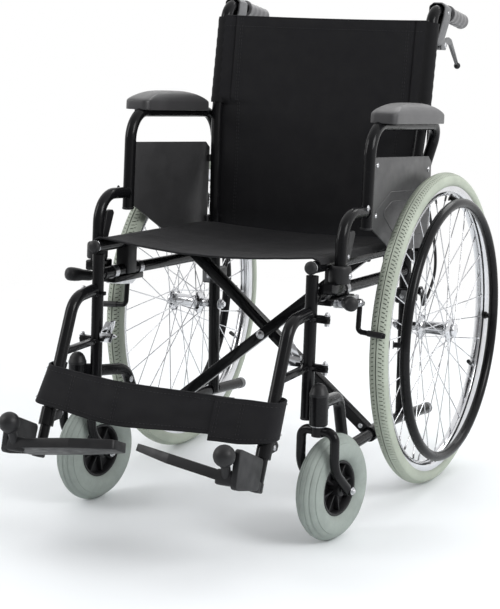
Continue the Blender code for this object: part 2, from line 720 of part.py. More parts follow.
def arm_panel(side, name):
    """Moulded clothes guard with cut corners, between the arm's front leg and its rear leg."""
    outline = ring_outline([
        (-0.2800, 0.6640), (0.0141, 0.6395), (0.0303, 0.6270), (0.0202, 0.4600), (-0.1640, 0.4800),
        (-0.2830, 0.5440),
    ], 0.003, 90)
    panel = flat("panel", [(AXLE_Y + y, z) for y, z in outline], PANEL_THICK,
                 side_plane((side * PANEL_X, 0, 0)))
    clear = tube("clear", arm_loop(side), ARM_TUBE + 0.0004)
    return finish(cut(panel, clear), name + "_arm_panel", "panel")


def arm_pad(side, name):
    """Moulded arm pad: a straight-sided base, grooved over the tube, under a crowned top."""
    y, z = ARM_LEG
    middle = -0.1255
    place = leant(side, PAD_X, middle, z - (middle - y) * math.tan(ARM_LEAN), ARM_LEAN)
    half, across = PAD_LENGTH / 2, PAD_WIDTH / 2
    outline = ring_outline([(-across, -half), (across, -half), (across, half), (-across, half)], 0.013, 45)
    levels = ((0.0, 0.0, 0.0), (0.0165, 0.0, 0.0), (0.0250, 0.016, 0.0025), (0.0325, 0.044, 0.0080),
              (0.0370, 0.078, 0.0150))
    shell = bmesh.new()
    rings = []
    for height, end, edge in levels:
        ring = []
        for u, v in outline:
            spot = Vector((u * (1 - edge / across), v * (1 - end / half), height))
            ring.append(shell.verts.new(place @ spot))
        rings.append(ring)
    for low, high in zip(rings, rings[1:]):
        for i in range(len(low)):
            j = (i + 1) % len(low)
            shell.faces.new((low[i], low[j], high[j], high[i]))
    shell.faces.new(rings[0])
    shell.faces.new(rings[-1])
    bmesh.ops.recalc_face_normals(shell, faces=shell.faces)
    mesh = bpy.data.meshes.new("pad")
    shell.to_mesh(mesh)
    shell.free()
    groove = tube("groove", arm_loop(side), ARM_TUBE + 0.0004)
    return finish(cut(add("pad", mesh), groove), name + "_arm_pad", "pad")


def arm_latch_pin(side):
    return at(side, ARM_X, leg_y(0.5000, *ARM_STEP) + 0.0200, 0.5000)


def arm_latch(side, name):
    """Slim release lever behind the arm's front leg."""
    lever = flat("lever", ring_outline([(-0.0060, -0.0080), (0.0080, -0.0080), (0.0300, 0.0370),
                                        (0.0260, 0.0430), (0.0045, 0.0430), (-0.0083, 0.0060)], 0.003, 45), 0.0110,
                 side_plane(arm_latch_pin(side)))
    return finish(lever, name + "_arm_latch", "plastic")


# Footrests

def rake_down():
    return Vector((0, -sin(RAKE), -cos(RAKE)))


def rake_forward():
    return Vector((0, -cos(PLATE_RISE), sin(PLATE_RISE)))


def hanger_bend(side):
    return at(side, HANGER_X, HANGER_BEND_Y, HANGER_TOP_Z - 0.004)


def hanger(side, name):
    """Swing-away hanger: bent tube, two saddles across the post with hinge ears, and the clamp."""
    bend = hanger_bend(side)
    down = rake_down()
    made = tube("arm", rounded([
        at(side, FRONT_X, post_y(HANGER_TOP_Z) - 0.0150, HANGER_TOP_Z), bend, bend + down * CLAMP_AT,
    ], 0.044), TUBE_R)
    low = LUG_Z[1]
    reach = bend.y - AXLE_Y - (bend.z - low) * math.tan(RAKE)
    rear = post_y(low) - 0.0130
    bar = block("bar", at(side, (FRONT_X + HANGER_X) / 2, (reach + rear) / 2, low),
                (0.0130, rear - reach, 0.0110))
    made = union(made, bar)
    for z in LUG_Z:
        inner, outer = TUBE_R + 0.0009, 0.0160
        outline = []
        for i in range(6):
            angle = radians(200 + 145 * i / 5)
            outline.append((outer * cos(angle), outer * sin(angle)))
        outline += [(PIN_DX + 0.0040, PIN_DY - 0.0065), (PIN_DX + 0.0065, PIN_DY),
                    (PIN_DX + 0.0040, PIN_DY + 0.0058), (PIN_DX - 0.0040, PIN_DY + 0.0058)]
        for i in range(6):
            angle = radians(345 - 145 * i / 5)
            outline.append((inner * cos(angle), inner * sin(angle)))
        place = leant(side, FRONT_X, post_y(z), z, FRONT_LEAN)
        saddle_strip = flat("strip", [(side * x, y) for x, y in outline], 0.0048, place)
        hole = turned("hole", [(0, 0.02), (0.0036, 0.02), (0.0036, -0.02), (0, -0.02)],
                      place @ Matrix.Translation((side * PIN_DX, PIN_DY, 0)), 8)
        made = union(made, cut(saddle_strip, hole))
    shelf = block("shelf", place @ Vector((-side * 0.0165, -0.0075, 0.0035)), (0.0080, 0.0090, 0.0070),
                  turn=Matrix.Rotation(-FRONT_LEAN, 3, "X"))
    made = union(made, shelf)
    collar = turned("collar", [(0, 0.016), (0.0135, 0.016), (0.0135, -0.016), (0, -0.016)],
                    frame_on(bend + down * CLAMP_AT, -down, (1, 0, 0)), 12)
    boss = block("boss", bend + down * CLAMP_AT + Vector((0, 0.0250, -0.0030)), (0.013, 0.030, 0.018), 0.003)
    bore = rod("bore", bend + down * 0.080, bend + down * 0.260, FOOT_TUBE_R + 0.0007, 12)
    return finish(cut(union(made, collar, boss), bore), name + "_hanger", "frame")


def hanger_latch(side, name):
    """Release lever on the inboard side of the hanger's lower saddle, with an upturned thumb blade."""
    pin = hanger_latch_pin(side)
    outline = ring_outline([(0.0030, -0.0045), (-0.0190, -0.0045), (-0.0190, -0.0015), (-0.0080, 0.0020),
                            (-0.0135, 0.0120), (-0.0165, 0.0270), (-0.0135, 0.0280), (-0.0095, 0.0130),
                            (-0.0030, 0.0045), (0.0030, 0.0045)], 0.001, 90)
    place = Matrix.Translation(pin) @ Matrix(((side, 0, 0, 0), (0, 0, -side, 0), (0, 1, 0, 0), (0, 0, 0, 1)))
    lever = flat("lever", outline, 0.0150, place)
    return finish(lever, name + "_hanger_latch", "steel")


def foot_clamp_point(side):
    return hanger_bend(side) + rake_down() * CLAMP_AT


def plate_hinge(side):
    return hanger_bend(side) + rake_down() * HINGE_AT


def foot_tube(side, name):
    """Extension tube in the hanger, with the footplate's hinge pin at its foot."""
    down, forward = rake_down(), rake_forward()
    hinge = plate_hinge(side)
    stem = rod("stem", hanger_bend(side) + down * 0.100, hinge + down * 0.006, FOOT_TUBE_R, 10)
    heel = block("heel", hinge + forward * 0.003, (0.0170, 0.0230, 0.0190), 0.002,
                 Matrix.Rotation(-PLATE_RISE, 3, "X"))
    pin = rod("pin", hinge, hinge + forward * 0.0480, 0.0040, 8)
    return finish(union(stem, heel, pin), name + "_foot_tube", "steel")


def footplate(side, name):
    """Flip-up plate with a raised rim, a side guard, and a ball to lift it with the foot."""
    forward = rake_forward()
    up = Vector((0, forward.z, -forward.y))
    hinge = plate_hinge(side)
    inboard = Vector((-side * cos(PLATE_TILT), 0, 0)) + up * sin(PLATE_TILT)
    normal = Vector((side * sin(PLATE_TILT), 0, 0)) + up * cos(PLATE_TILT)
    start = hinge + forward * 0.0180
    place = Matrix.Translation(start) @ Matrix((inboard, forward, normal)).transposed().to_4x4()
    outer = ring_outline([(-0.006, 0.0), (0.120, 0.0), (0.196, 0.020), (0.196, 0.066), (0.120, 0.088),
                          (-0.006, 0.088)], 0.008, 90)
    inner = ring_outline([(0.012, 0.006), (0.118, 0.006), (0.190, 0.025), (0.190, 0.061), (0.118, 0.082),
                          (0.012, 0.082)], 0.004, 90)
    tray = flat("tray", outer, 0.0170, place)
    pocket = flat("pocket", inner, 0.0170, place @ Matrix.Translation((0, 0, 0.0050)))
    tip = block("tip", place @ Vector((0.170, 0.044, -0.0135)), (0.150, 0.10, 0.016),
                turn=place.to_3x3() @ Matrix.Rotation(radians(-3.4), 3, "Y"))
    tray = cut(tray, pocket, tip)
    rise = [(0.0, -0.0070), (0.0, 0.0460), (0.0950, 0.0500), (0.0860, -0.0160), (0.0700, -0.0160)]
    guard_place = Matrix((forward, up, forward.cross(up))).transposed().to_4x4()
    guard_at = Vector((side * GUARD_X, start.y, start.z))
    guard = flat("guard", ring_outline(rise, 0.006, 45), GUARD_THICK,
                 Matrix.Translation(guard_at) @ guard_place)
    corner = block("corner", start + forward * 0.0793 + up * 0.0013 - Vector((side * 0.0083, 0, 0)),
                   (0.0396, 0.0164, 0.0256), 0.003, Matrix.Rotation(-PLATE_RISE, 3, "X"))
    knob = at(side, 0.2066, -0.7553, 0.2280)
    neck = rod("neck", start + forward * 0.082 + up * 0.004 - Vector((side * 0.0100, 0, 0)), knob, 0.0080, 8)
    lifter = ball("ball", knob, 0.0185, 12)
    hole = rod("hole", hinge - forward * 0.02, hinge + forward * 0.0500, 0.0046, 10)
    made = cut(union(tray, guard, corner, neck, lifter), hole)
    return finish(made, name + "_footplate", "plastic")


# Parking brakes

def parking_brake_plate(side, name):
    """Brake base clamped under the upper rail, with its side plate."""
    slope = math.atan2(UPPER_RAIL_Z[1] - UPPER_RAIL_Z[0], UPPER_RAIL_Y[1] - UPPER_RAIL_Y[0])
    y = -0.3575
    base = block("base", at(side, 0.2195, y, rail_z(y) - 0.0150), (0.0290, 0.104, 0.0110), 0.0,
                 Matrix.Rotation(slope, 3, "X"))
    rail = rod("rail", at(side, rail_x(-0.45), -0.45, rail_z(-0.45)), at(side, rail_x(-0.25), -0.25, rail_z(-0.25)),
               TUBE_R + 0.0005, 14)
    saddle_room = block("room", at(side, rail_x(-0.352), -0.352, rail_z(-0.352) - 0.003), (0.0283, 0.0328, 0.040),
                        0.0, Matrix.Rotation(slope, 3, "X"))
    outline = ring_outline([(-0.409, 0.4240), (-0.286, 0.4160), (-0.286, 0.4020), (-0.302, 0.3940),
                            (-0.340, 0.3990), (-0.392, 0.4090)], 0.005, 60)
    plate = flat("plate", [(AXLE_Y + a, b) for a, b in outline], 0.0032, side_plane((side * BRAKE_PLATE_X, 0, 0)))
    return finish(union(cut(base, rail, saddle_room), plate), name + "_parking_brake_plate", "frame")


def parking_brake_lever(side, name):
    """Over-centre hand lever with its moulded grip, splayed outward."""
    y, z = BRAKE_PIVOT
    root = at(side, 0.2600, -0.4040, 0.4225)
    tip = at(side, 0.2880, -0.4436, 0.4297)
    arm = tube("arm", [at(side, BRAKE_X + 0.001, y, z), at(side, BRAKE_X + 0.004, -0.390, 0.4195),
                       root + (tip - root) * 0.25], 0.0048, 8)
    length = (tip - root).length + 0.004
    grip = turned("grip", [
        (0, length), (0.0085, length - 0.0015), (0.0125, length - 0.007), (0.0128, length - 0.018),
        (0.0100, 0.004), (0.0080, 0.0), (0, 0.0),
    ], frame_on(root, tip - root, (0, 0, 1)), 10)
    boss = rod("boss", at(side, BRAKE_PLATE_X + 0.0020, y, z), at(side, BRAKE_X + 0.005, y, z), 0.0082, 8)
    return finish(union(boss, arm, grip), name + "_parking_brake_lever", "plastic")


def parking_brake_shoe(side, name):
    """Bent shoe rod that bears on the tyre."""
    y, z = SHOE_PIVOT
    rodline = tube("rod", rounded([
        at(side, BRAKE_X, y, z), at(side, BRAKE_X, -0.3078, 0.3520), at(side, 0.2950, -0.3078, 0.3488),
    ], 0.008, 45), 0.0048, 8)
    boss = rod("boss", at(side, BRAKE_PLATE_X + 0.0020, y, z), at(side, BRAKE_X + 0.0040, y, z), 0.0080, 8)
    sleeve = rod("sleeve", at(side, 0.2620, -0.3081, 0.3508), at(side, 0.2925, -0.3081, 0.3490), 0.0058, 8)
    return finish(union(rodline, boss, sleeve), name + "_parking_brake_shoe", "frame")


# Cross brace

def brace(letter, side):
    """One brace member, from its sleeve on this side's lower rail up to the other side's seat rail."""
    y = BRACE_Y[letter]
    low = at(side, LOWER_RAIL_X, y, LOWER_RAIL_Z)
    high = at(-side, SEAT_RAIL_X, y, BRACE_UPPER_Z)
    run = high - low
    angle = -math.atan2(run.z, run.x)
    end = high - run.normalized() * 0.009
    beam = block("beam", (low + end) / 2, ((end - low).length, BRACE_SIZE, BRACE_SIZE), 0.003,
                 Matrix.Rotation(angle, 3, "Y"))
    front = low - Vector((0, BRACE_SIZE / 2, 0))
    sleeve = rod("sleeve", front, front + Vector((0, SLEEVE_LENGTH, 0)), SLEEVE_R, 14)
    bore = rod("bore", front - Vector((0, 0.01, 0)), front + Vector((0, SLEEVE_LENGTH + 0.01, 0)),
               SLEEVE_BORE, 14)
    rail = rod("rail", at(-side, SEAT_RAIL_X, SEAT_RAIL_Y[0], SEAT_RAIL_Z[0]),
               at(-side, SEAT_RAIL_X, SEAT_RAIL_Y[1], SEAT_RAIL_Z[1]), TUBE_R, ROUND)
    nose = turned("nose", [(0, 0.0035), (0.0090, 0.0035), (0.0120, 0.0005), (0.0120, -0.0045), (0, -0.0045)],
                  frame_on(at(-side, SEAT_RAIL_X, SEAT_RAIL_Y[0] - 0.0035, SEAT_RAIL_Z[0] + 0.0002),
                           (0, -1, 0.05), (0, 0, 1)), 12)
    hole = rod("hole", at(1, 0, y - 0.03, brace_centre()), at(1, 0, y + 0.03, brace_centre()), 0.0054, 10)
    made = cut(union(beam, rail, nose, sleeve), bore, hole)
    return finish(made, "brace_" + letter, "frame")


def brace_centre():
    return (LOWER_RAIL_Z + BRACE_UPPER_Z) / 2


def brace_pivot():
    """Pivot bolt through both brace members, with the spacer between them."""
    front = BRACE_Y["b"] - BRACE_SIZE / 2
    back = BRACE_Y["a"] + BRACE_SIZE / 2
    gap_low, gap_high = BRACE_Y["b"] + BRACE_SIZE / 2 + 0.0004, BRACE_Y["a"] - BRACE_SIZE / 2 - 0.0004
    profile = [
        (0, -front + 0.0060), (0.0075, -front + 0.0050), (0.0080, -front + 0.0004), (0.0050, -front + 0.0004),
        (0.0050, -gap_low), (0.0100, -gap_low), (0.0100, -gap_high), (0.0050, -gap_high),
        (0.0050, -back - 0.0004), (0.0080, -back - 0.0004), (0.0080, -back - 0.0070), (0, -back - 0.0070),
    ]
    bolt = turned("bolt", profile, frame_on(at(1, 0, 0, brace_centre()), (0, -1, 0), (0, 0, 1)), 12)
    return finish(bolt, "brace_pivot", "steel")


# Seat, back and calf strap

def sheet_between(name, top, bottom):
    """A closed sheet from two grids of points that share their layout."""
    shell = bmesh.new()
    over = [[shell.verts.new(p) for p in row] for row in top]
    under = [[shell.verts.new(p) for p in row] for row in bottom]
    rows, cols = len(over), len(over[0])
    for i in range(rows - 1):
        for j in range(cols - 1):
            shell.faces.new((over[i][j], over[i][j + 1], over[i + 1][j + 1], over[i + 1][j]))
            shell.faces.new((under[i][j], under[i + 1][j], under[i + 1][j + 1], under[i][j + 1]))
    for i in range(rows - 1):
        for j in (0, cols - 1):
            shell.faces.new((over[i][j], over[i + 1][j], under[i + 1][j], under[i][j]))
    for j in range(cols - 1):
        for i in (0, rows - 1):
            shell.faces.new((over[i][j], over[i][j + 1], under[i][j + 1], under[i][j]))
    bmesh.ops.recalc_face_normals(shell, faces=shell.faces)
    mesh = bpy.data.meshes.new(name)
    shell.to_mesh(mesh)
    shell.free()
    return add(name, mesh)


def offset_path(path, distance):
    """The path in the XZ plane moved sideways by a distance."""
    moved = []
    for i, here in enumerate(path):
        before, after = path[max(i - 1, 0)], path[min(i + 1, len(path) - 1)]
        tangent = Vector((after[0] - before[0], after[1] - before[1])).normalized()
        moved.append((here[0] - tangent.y * distance, here[1] + tangent.x * distance))
    return moved


def seat_section(sag):
    """Half the sling's section, from the middle out over the top of the rail."""
    wrap = TUBE_R + 0.0024
    edge = SEAT_RAIL_X - 0.003
    points = [(edge * i / 7, wrap - sag * (1 - (i / 7) ** 2) ** 1.5) for i in range(8)]
    points.append((SEAT_RAIL_X + wrap * cos(radians(62)), wrap * sin(radians(62))))
    return points


def seat():
    """Sling seat: sagging cloth wrapped over both seat rails."""
    top, bottom = [], []
    stations = 8
    for i in range(stations + 1):
        t = i / stations
        y = -0.449 + 0.414 * t
        height = seat_rail_z(y)
        sag = 0.013 + 0.010 * sin(pi * t)
        half = seat_section(sag)
        path = [(-x, z) for x, z in reversed(half[1:])] + half
        upper, lower = offset_path(path, 0.0020), offset_path(path, -0.0018)
        top.append([at(1, x, y, height + z) for x, z in upper])
        bottom.append([at(1, x, y, height + z) for x, z in lower])
    return finish(sheet_between("seat", top, bottom), "seat_sling", "nylon")


def cane_line(z):
    """Where the cane's centre is at a height: how far out, and how far back."""
    corners = [(REAR_X, REAR_Y, 0.40), (REAR_X, REAR_Y, 0.512), (CANE_X, 0.026, 0.695),
               (CANE_X, CANE_BEND_Y, CANE_BEND_Z)]
    for (x, y, low), (far_x, far_y, high) in zip(corners, corners[1:]):
        if z <= high:
            t = (z - low) / (high - low)
            return x + (far_x - x) * t, y + (far_y - y) * t
    return CANE_X, CANE_BEND_Y


def back():
    """Back sling: a panel in front of the canes, sewn to a long sleeve round each of them."""
    top, bottom = [], []
    levels = 8
    wrap = CANE_R + 0.0025
    for i in range(levels + 1):
        t = i / levels
        z = 0.476 + 0.414 * t
        x, y = cane_line(z)
        hollow = 0.008 + 0.012 * sin(pi * t)
        panel = [((x - 0.0038) * j / 6, -wrap + hollow * (1 - (j / 6) ** 4)) for j in range(7)]
        path = [(-a, b) for a, b in reversed(panel[1:])] + panel
        front, behind = offset_path(path, -0.0014), offset_path(path, 0.0012)
        top.append([at(1, a, y + b, z) for a, b in front])
        bottom.append([at(1, a, y + b, z) for a, b in behind])
    panel = sheet_between("back", top, bottom)
    axis = Vector((0, CANE_BEND_Y - 0.026, CANE_BEND_Z - 0.695)).normalized()
    sleeves = []
    for side in (1, -1):
        foot = at(side, CANE_X, cane_line(0.7300)[1], 0.7300)
        sleeves.append(turned("sleeve", [
            (CANE_R + 0.0032, 0.158), (CANE_R + 0.0032, 0.0), (CANE_R + 0.0006, 0.0), (CANE_R + 0.0006, 0.158),
        ], frame_on(foot, axis, (1, 0, 0)), 14, closed=True))
    return finish(union(panel, *sleeves), "back_sling", "nylon")


def calf_strap():
    """Calf strap: a hanging band looped round both hanger tubes, lower on the occupant's left."""
    down = rake_down()
    wrap = TUBE_R + 0.0052
    loop = [(HANGER_X + wrap * cos(radians(a)), wrap * sin(radians(a))) for a in (125, 85, 45, 5, -35, -75)]
    across = [(HANGER_X * (1 - i / 8), -wrap - 0.004 * sin(pi * i / 16)) for i in range(1, 9)]
    path = loop + across
    path = path + [(-x, y) for x, y in reversed(path[:-1])]
    top, bottom = [], []
    for index, (x, y) in enumerate(path):
        before, after = path[max(index - 1, 0)], path[min(index + 1, len(path) - 1)]
        tangent = Vector((after[0] - before[0], after[1] - before[1])).normalized()
        shift = Vector((-tangent.y, tangent.x, 0)) * 0.0020
        share = 0.5 - 0.5 * max(-1.0, min(1.0, x / HANGER_X))
        hang = 0.0125 * cos(pi / 2 * max(-1.0, min(1.0, x / HANGER_X)))
        upper, lower = 0.128 - 0.014 * share + hang, 0.1945 - 0.0030 * share + hang / 2
        over, under = [], []
        for row in range(4):
            centre = hanger_bend(1) + down * (upper + (lower - upper) * row / 3)
            spot = Vector((x, centre.y + y, centre.z))
            over.append(spot - shift)
            under.append(spot + shift)
        top.append(over)
        bottom.append(under)
    return finish(sheet_between("strap", top, bottom), "calf_strap", "nylon")


# Assembly

def build_side(name, side):
    side_frame(side, name)
    push_grip(side, name)
    brake_lever_clamp(side, name)
    lever = brake_hand_lever(side, name)
    brake_cable(side, name)
    puller = wheel_brake(side, name)
    wheel = [tyre(side, name), rim(side, name), hub(side, name), handrim(side, name)]
    axle(side, name)
    fork = caster_fork(side, name)
    caster = [caster_tyre(side, name), caster_wheel(side, name)]
    arm = [arm_tube(side, name), arm_panel(side, name), arm_pad(side, name)]
    latch = arm_latch(side, name)
    swing = hanger(side, name)
    swing_latch = hanger_latch(side, name)
    extension = foot_tube(side, name)
    plate = footplate(side, name)
    parking_brake_plate(side, name)
    brake_lever = parking_brake_lever(side, name)
    shoe = parking_brake_shoe(side, name)

    carry(pivot(name + "_wheel_axis", at(side, WHEEL_X, 0, AXLE_Z)), *wheel)
    swivel = pivot(name + "_caster_swivel_axis", at(side, STEM_X, STEM_Y, HOUSING_Z[0]))
    carry(swivel, fork)
    carry(pivot(name + "_caster_axis", caster_vectors(side, name)[2], swivel), *caster)
    lift = pivot(name + "_arm_lift", at(side, ARM_X, leg_y(ARM_FOOT_Z, *ARM_STEP), ARM_FOOT_Z))
    carry(lift, *arm)
    carry(pivot(name + "_arm_latch_axis", arm_latch_pin(side), lift), latch)
    lug = leant(side, FRONT_X, post_y(LUG_Z[0]), LUG_Z[0], FRONT_LEAN)
    hinge = pivot(name + "_hanger_hinge", lug @ Vector((side * PIN_DX, PIN_DY, 0)))
    carry(hinge, swing)
    carry(pivot(name + "_hanger_latch_axis", hanger_latch_pin(side), hinge), swing_latch)
    slide = pivot(name + "_foot_slide", foot_clamp_point(side), hinge)
    carry(slide, extension)
    carry(pivot(name + "_footplate_hinge", plate_hinge(side), slide), plate)
    carry(pivot(name + "_brake_hinge", at(side, BRAKE_X, *BRAKE_PIVOT)), brake_lever)
    carry(pivot(name + "_shoe_hinge", at(side, BRAKE_X, *SHOE_PIVOT)), shoe)
    carry(pivot(name + "_hand_lever_hinge", lever_pivot(side)), lever)
    carry(pivot(name + "_wheel_brake_hinge", at(side, *PULLER_PIVOT)), puller)


def hanger_latch_pin(side):
    return at(side, FRONT_X - 0.0200, post_y(LUG_Z[1]), LUG_Z[1] + 0.0120)


def main():
    clear_scene()
    for name, side in SIDES.items():
        build_side(name, side)
    member_a = brace("a", 1)
    member_b = brace("b", -1)
    bolt = brace_pivot()
    seat()
    back()
    calf_strap()
    fold = pivot("fold_axis", at(1, LOWER_RAIL_X, BRACE_Y["a"], LOWER_RAIL_Z))
    carry(fold, member_a, bolt)
    carry(pivot("brace_pivot_axis", at(1, 0, BRACE_Y["b"], brace_centre()), fold), member_b)


main()
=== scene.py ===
"""Finished pieces, materials, floor and camera of a folding wheelchair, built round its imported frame."""

from math import atan2, ceil, cos, degrees, pi, radians, sin, sqrt, tan

import bpy
from mathutils import Matrix, Vector, noise


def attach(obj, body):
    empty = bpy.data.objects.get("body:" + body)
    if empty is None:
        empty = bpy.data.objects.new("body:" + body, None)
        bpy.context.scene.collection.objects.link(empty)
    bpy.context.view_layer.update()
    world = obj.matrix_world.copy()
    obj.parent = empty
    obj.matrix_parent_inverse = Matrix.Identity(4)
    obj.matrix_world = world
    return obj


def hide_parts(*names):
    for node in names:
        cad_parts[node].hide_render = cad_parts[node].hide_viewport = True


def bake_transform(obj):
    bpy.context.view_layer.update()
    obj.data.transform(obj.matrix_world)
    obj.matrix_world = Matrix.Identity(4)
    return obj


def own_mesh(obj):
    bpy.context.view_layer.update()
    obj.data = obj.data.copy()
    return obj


bl_info = {
    "name": "Wheelchair Pieces",
    "version": (1, 0, 0),
    "blender": (4, 5, 0),
    "location": "3D View > Sidebar > Wheelchair",
    "description": "Builds the finished pieces of a folding wheelchair and the studio round it",
    "category": "Object",
}

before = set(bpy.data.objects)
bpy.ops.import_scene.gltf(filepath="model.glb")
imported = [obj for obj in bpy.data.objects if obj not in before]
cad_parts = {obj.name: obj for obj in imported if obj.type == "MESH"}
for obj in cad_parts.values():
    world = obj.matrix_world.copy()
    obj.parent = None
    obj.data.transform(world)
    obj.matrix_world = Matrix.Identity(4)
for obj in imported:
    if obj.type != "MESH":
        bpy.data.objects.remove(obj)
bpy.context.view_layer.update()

# Lengths are metres. Heights are from the floor, and y is from the rear axle, forward negative.
AXLE_Y = 0.2344
AXLE_Z = 0.305
FRONT_X, FRONT_FOOT_Y, FRONT_LEAN = 0.2158, -0.463, radians(2.9)
FRONT_POST_Z = (0.222, 0.474)
REAR_X, REAR_Y, CANE_X = 0.2115, -0.002, 0.224
POST_FOOT_Z, POST_TOP_Z, CANE_KNEE = 0.117, 0.512, (0.026, 0.695)
TUBE_R, CANE_R = 0.011, 0.0115
UPPER_RAIL_Y, UPPER_RAIL_Z = (-0.4515, -0.002), (0.437, 0.414)
LOWER_RAIL_X, LOWER_RAIL_Z = 0.2155, 0.124
SEAT_RAIL_X, SEAT_RAIL_Y, SEAT_RAIL_Z = 0.2175, (-0.461, -0.03), (0.489, 0.468)
CANE_BEND_Y, CANE_BEND_Z = 0.069, 0.922
HANDLE_Y, HANDLE_Z = 0.234, 0.8903
SLEEVE_Z, SLEEVE_LENGTH = 0.72, 0.174
BRACE_Y = {"a": -0.166, "b": -0.203}
BRACE_SIZE, BRACE_UPPER_Z, BRACE_CENTRE_Z = 0.0205, 0.48, 0.302
WHEEL_X, RIM_R, RIM_HALF = 0.2775, 0.277, 0.0137
HUB_IN, HUB_OUT, FLANGE_HOLES_R, NIPPLE_R, SPOKE_LEAD = 0.2425, 0.3125, 0.0206, 0.2602, radians(62)
HANDRIM_X, HANDRIM_R, HANDRIM_TUBE = 0.3115, 0.2475, 0.0095
STEM_X, STEM_Y = 0.2455, -0.478
HOUSING_R, HOUSING_Z = 0.0165, (0.219, 0.275)
CASTER_R, CASTER_TRAIL, FORK_HALF = 0.096, 0.047, 0.0355
CASTER_TURN = {"left": radians(9.5), "right": radians(10.0)}
ARM_X, ARM_TUBE, ARM_LEAN = 0.247, 0.011, radians(4.2)
ARM_LEG, ARM_TOP_REAR = (-0.279, 0.7225), (0.2482, 0.056)
ARM_STEP = (-0.396, 0.576)
ARM_REAR_X, ARM_REAR = 0.228, (0.04, 0.612)
ARM_FOOT_Z, ARM_REAR_FOOT_Z = 0.462, 0.445
PANEL_X, PAD_X = 0.244, 0.255
PIN_DX, PIN_DY, LUG_Z = 0.0307, 0.0005, (0.4, 0.3145)
HANGER_X, RAKE, HANGER_TOP_Z, HANGER_BEND_Y = 0.2148, radians(24.3), 0.41, -0.536
CLAMP_AT, HINGE_AT = 0.218, 0.282
PLATE_RISE, PLATE_TILT, GUARD_X = radians(22.5), radians(8.0), 0.2215
BRAKE_X, BRAKE_PLATE_X = 0.243, 0.233
BRAKE_PIVOT, SHOE_PIVOT = (-0.378, 0.417), (-0.301, 0.403)
CRADLE_Y, BRAKE_BODY_Z = (-0.352, -0.075), 0.366
LEVER_PIVOT, PULLER_PIVOT = (0.126, 0.8468), (0.23, 0.033, 0.37)
HANGER_DROP, PLATE_START = 0.004, 0.018
SEAT_WRAP_R, SEAT_WRAP_TURN, SEAT_DEPTH = TUBE_R + 0.0022, radians(68), 0.414
SEAT_HALF = SEAT_RAIL_X + SEAT_WRAP_R * SEAT_WRAP_TURN
BACK_FOOT_Z, BACK_WIDTH, BACK_HEIGHT = 0.456, 0.442, 0.4395
STRAP_R, BAND_END, LOOP_START = 0.0163, 0.15, 0.118
THREAD_LIFT, WASHER = 0.0002, 0.0009
SIDES = {"left": 1, "right": -1}


# Settings that a user would change

class WheelchairSizes(bpy.types.PropertyGroup):
    tube_sides: bpy.props.IntProperty(
        name="Tube Sides", description="How many flat sides a round tube is drawn with", default=28, min=8, max=64)
    notches: bpy.props.IntProperty(
        name="Tread Notches", description="Notches round each shoulder of a rear tyre", default=230, min=40, max=300)
    spokes: bpy.props.IntProperty(
        name="Spokes", description="Spokes in each rear wheel", default=36, min=12, max=48)
    spoke_thickness: bpy.props.FloatProperty(
        name="Spoke Thickness", description="Diameter of a spoke", default=0.0021, unit="LENGTH")
    seat_sag: bpy.props.FloatProperty(
        name="Seat Sag", description="How far the middle of the seat hangs below its rails", default=0.021,
        unit="LENGTH")
    back_hollow: bpy.props.FloatProperty(
        name="Back Hollow", description="How far the middle of the back is pushed rearward", default=0.019,
        unit="LENGTH")
    stitch: bpy.props.FloatProperty(
        name="Stitch Length", description="Length of one visible stitch", default=0.0042, unit="LENGTH")
    cloth: bpy.props.FloatProperty(
        name="Cloth Thickness", description="Thickness of the sling cloth", default=0.0024, unit="LENGTH")


def colour(name, words, value):
    return bpy.props.FloatVectorProperty(
        name=name, description=words, subtype="COLOR", size=3, min=0.0, max=1.0, default=value)


class WheelchairColours(bpy.types.PropertyGroup):
    paint: colour("Frame Paint", "Gloss coat on the steel tubes", (0.006, 0.006, 0.0068))
    chrome: colour("Chrome", "Plating on rims, hubs and bolts", (0.64, 0.645, 0.665))
    plastic: colour("Moulded Plastic", "Brackets, caps and footplates", (0.011, 0.011, 0.0122))
    guard: colour("Clothes Guard", "Moulded side panels", (0.044, 0.044, 0.0455))
    pad: colour("Arm Pad", "Skin of the foamed arm pads", (0.021, 0.0205, 0.0225))
    nylon: colour("Sling Cloth", "Woven seat, back and strap", (0.008, 0.0079, 0.0094))
    tyre: colour("Rear Tyre", "Pale solid tyre", (0.395, 0.435, 0.365))
    caster: colour("Caster Tyre", "Grey solid tyre", (0.275, 0.312, 0.288))
    # Lighter than the rubber's own dark tone: part of this colour is the grips' sheen, painted in.
    grip: colour("Push Grip", "Soft rubber of the push grips", (0.09, 0.0885, 0.093))
    floor: colour("Floor", "Studio floor and backdrop", (0.87, 0.895, 0.915))


def sizes():
    return bpy.context.scene.wheelchair_sizes


def colours():
    return bpy.context.scene.wheelchair_colours


# Places

def at(side, x, y, z):
    """A point on one side of the chair, given from the rear axle."""
    return Vector((side * x, AXLE_Y + y, z))


def frame_on(origin, normal, forward=(0, -1, 0)):
    """A placing whose local Z is the normal and whose local X follows the forward direction."""
    up = Vector(normal).normalized()
    along = Vector(forward)
    along = (along - up * along.dot(up)).normalized()
    return Matrix.Translation(Vector(origin)) @ Matrix((along, up.cross(along), up)).transposed().to_4x4()


def side_plane(origin):
    """A placing whose local X is the chair's Y, local Y is up and local Z is the chair's X."""
    o = Vector(origin)
    return Matrix(((0, 0, 1, o.x), (1, 0, 0, o.y), (0, 1, 0, o.z), (0, 0, 0, 1)))


def leant(side, x, y, z, lean):
    """A placing whose local Z leans back from the upright."""
    return Matrix.Translation(at(side, x, y, z)) @ Matrix.Rotation(-lean, 4, "X")


def wheel_place(side, x=0.0):
    return frame_on(at(side, x, 0, AXLE_Z), (side, 0, 0), (0, 0, 1))


def post_y(z):
    return FRONT_FOOT_Y + (z - FRONT_POST_Z[0]) * tan(FRONT_LEAN)


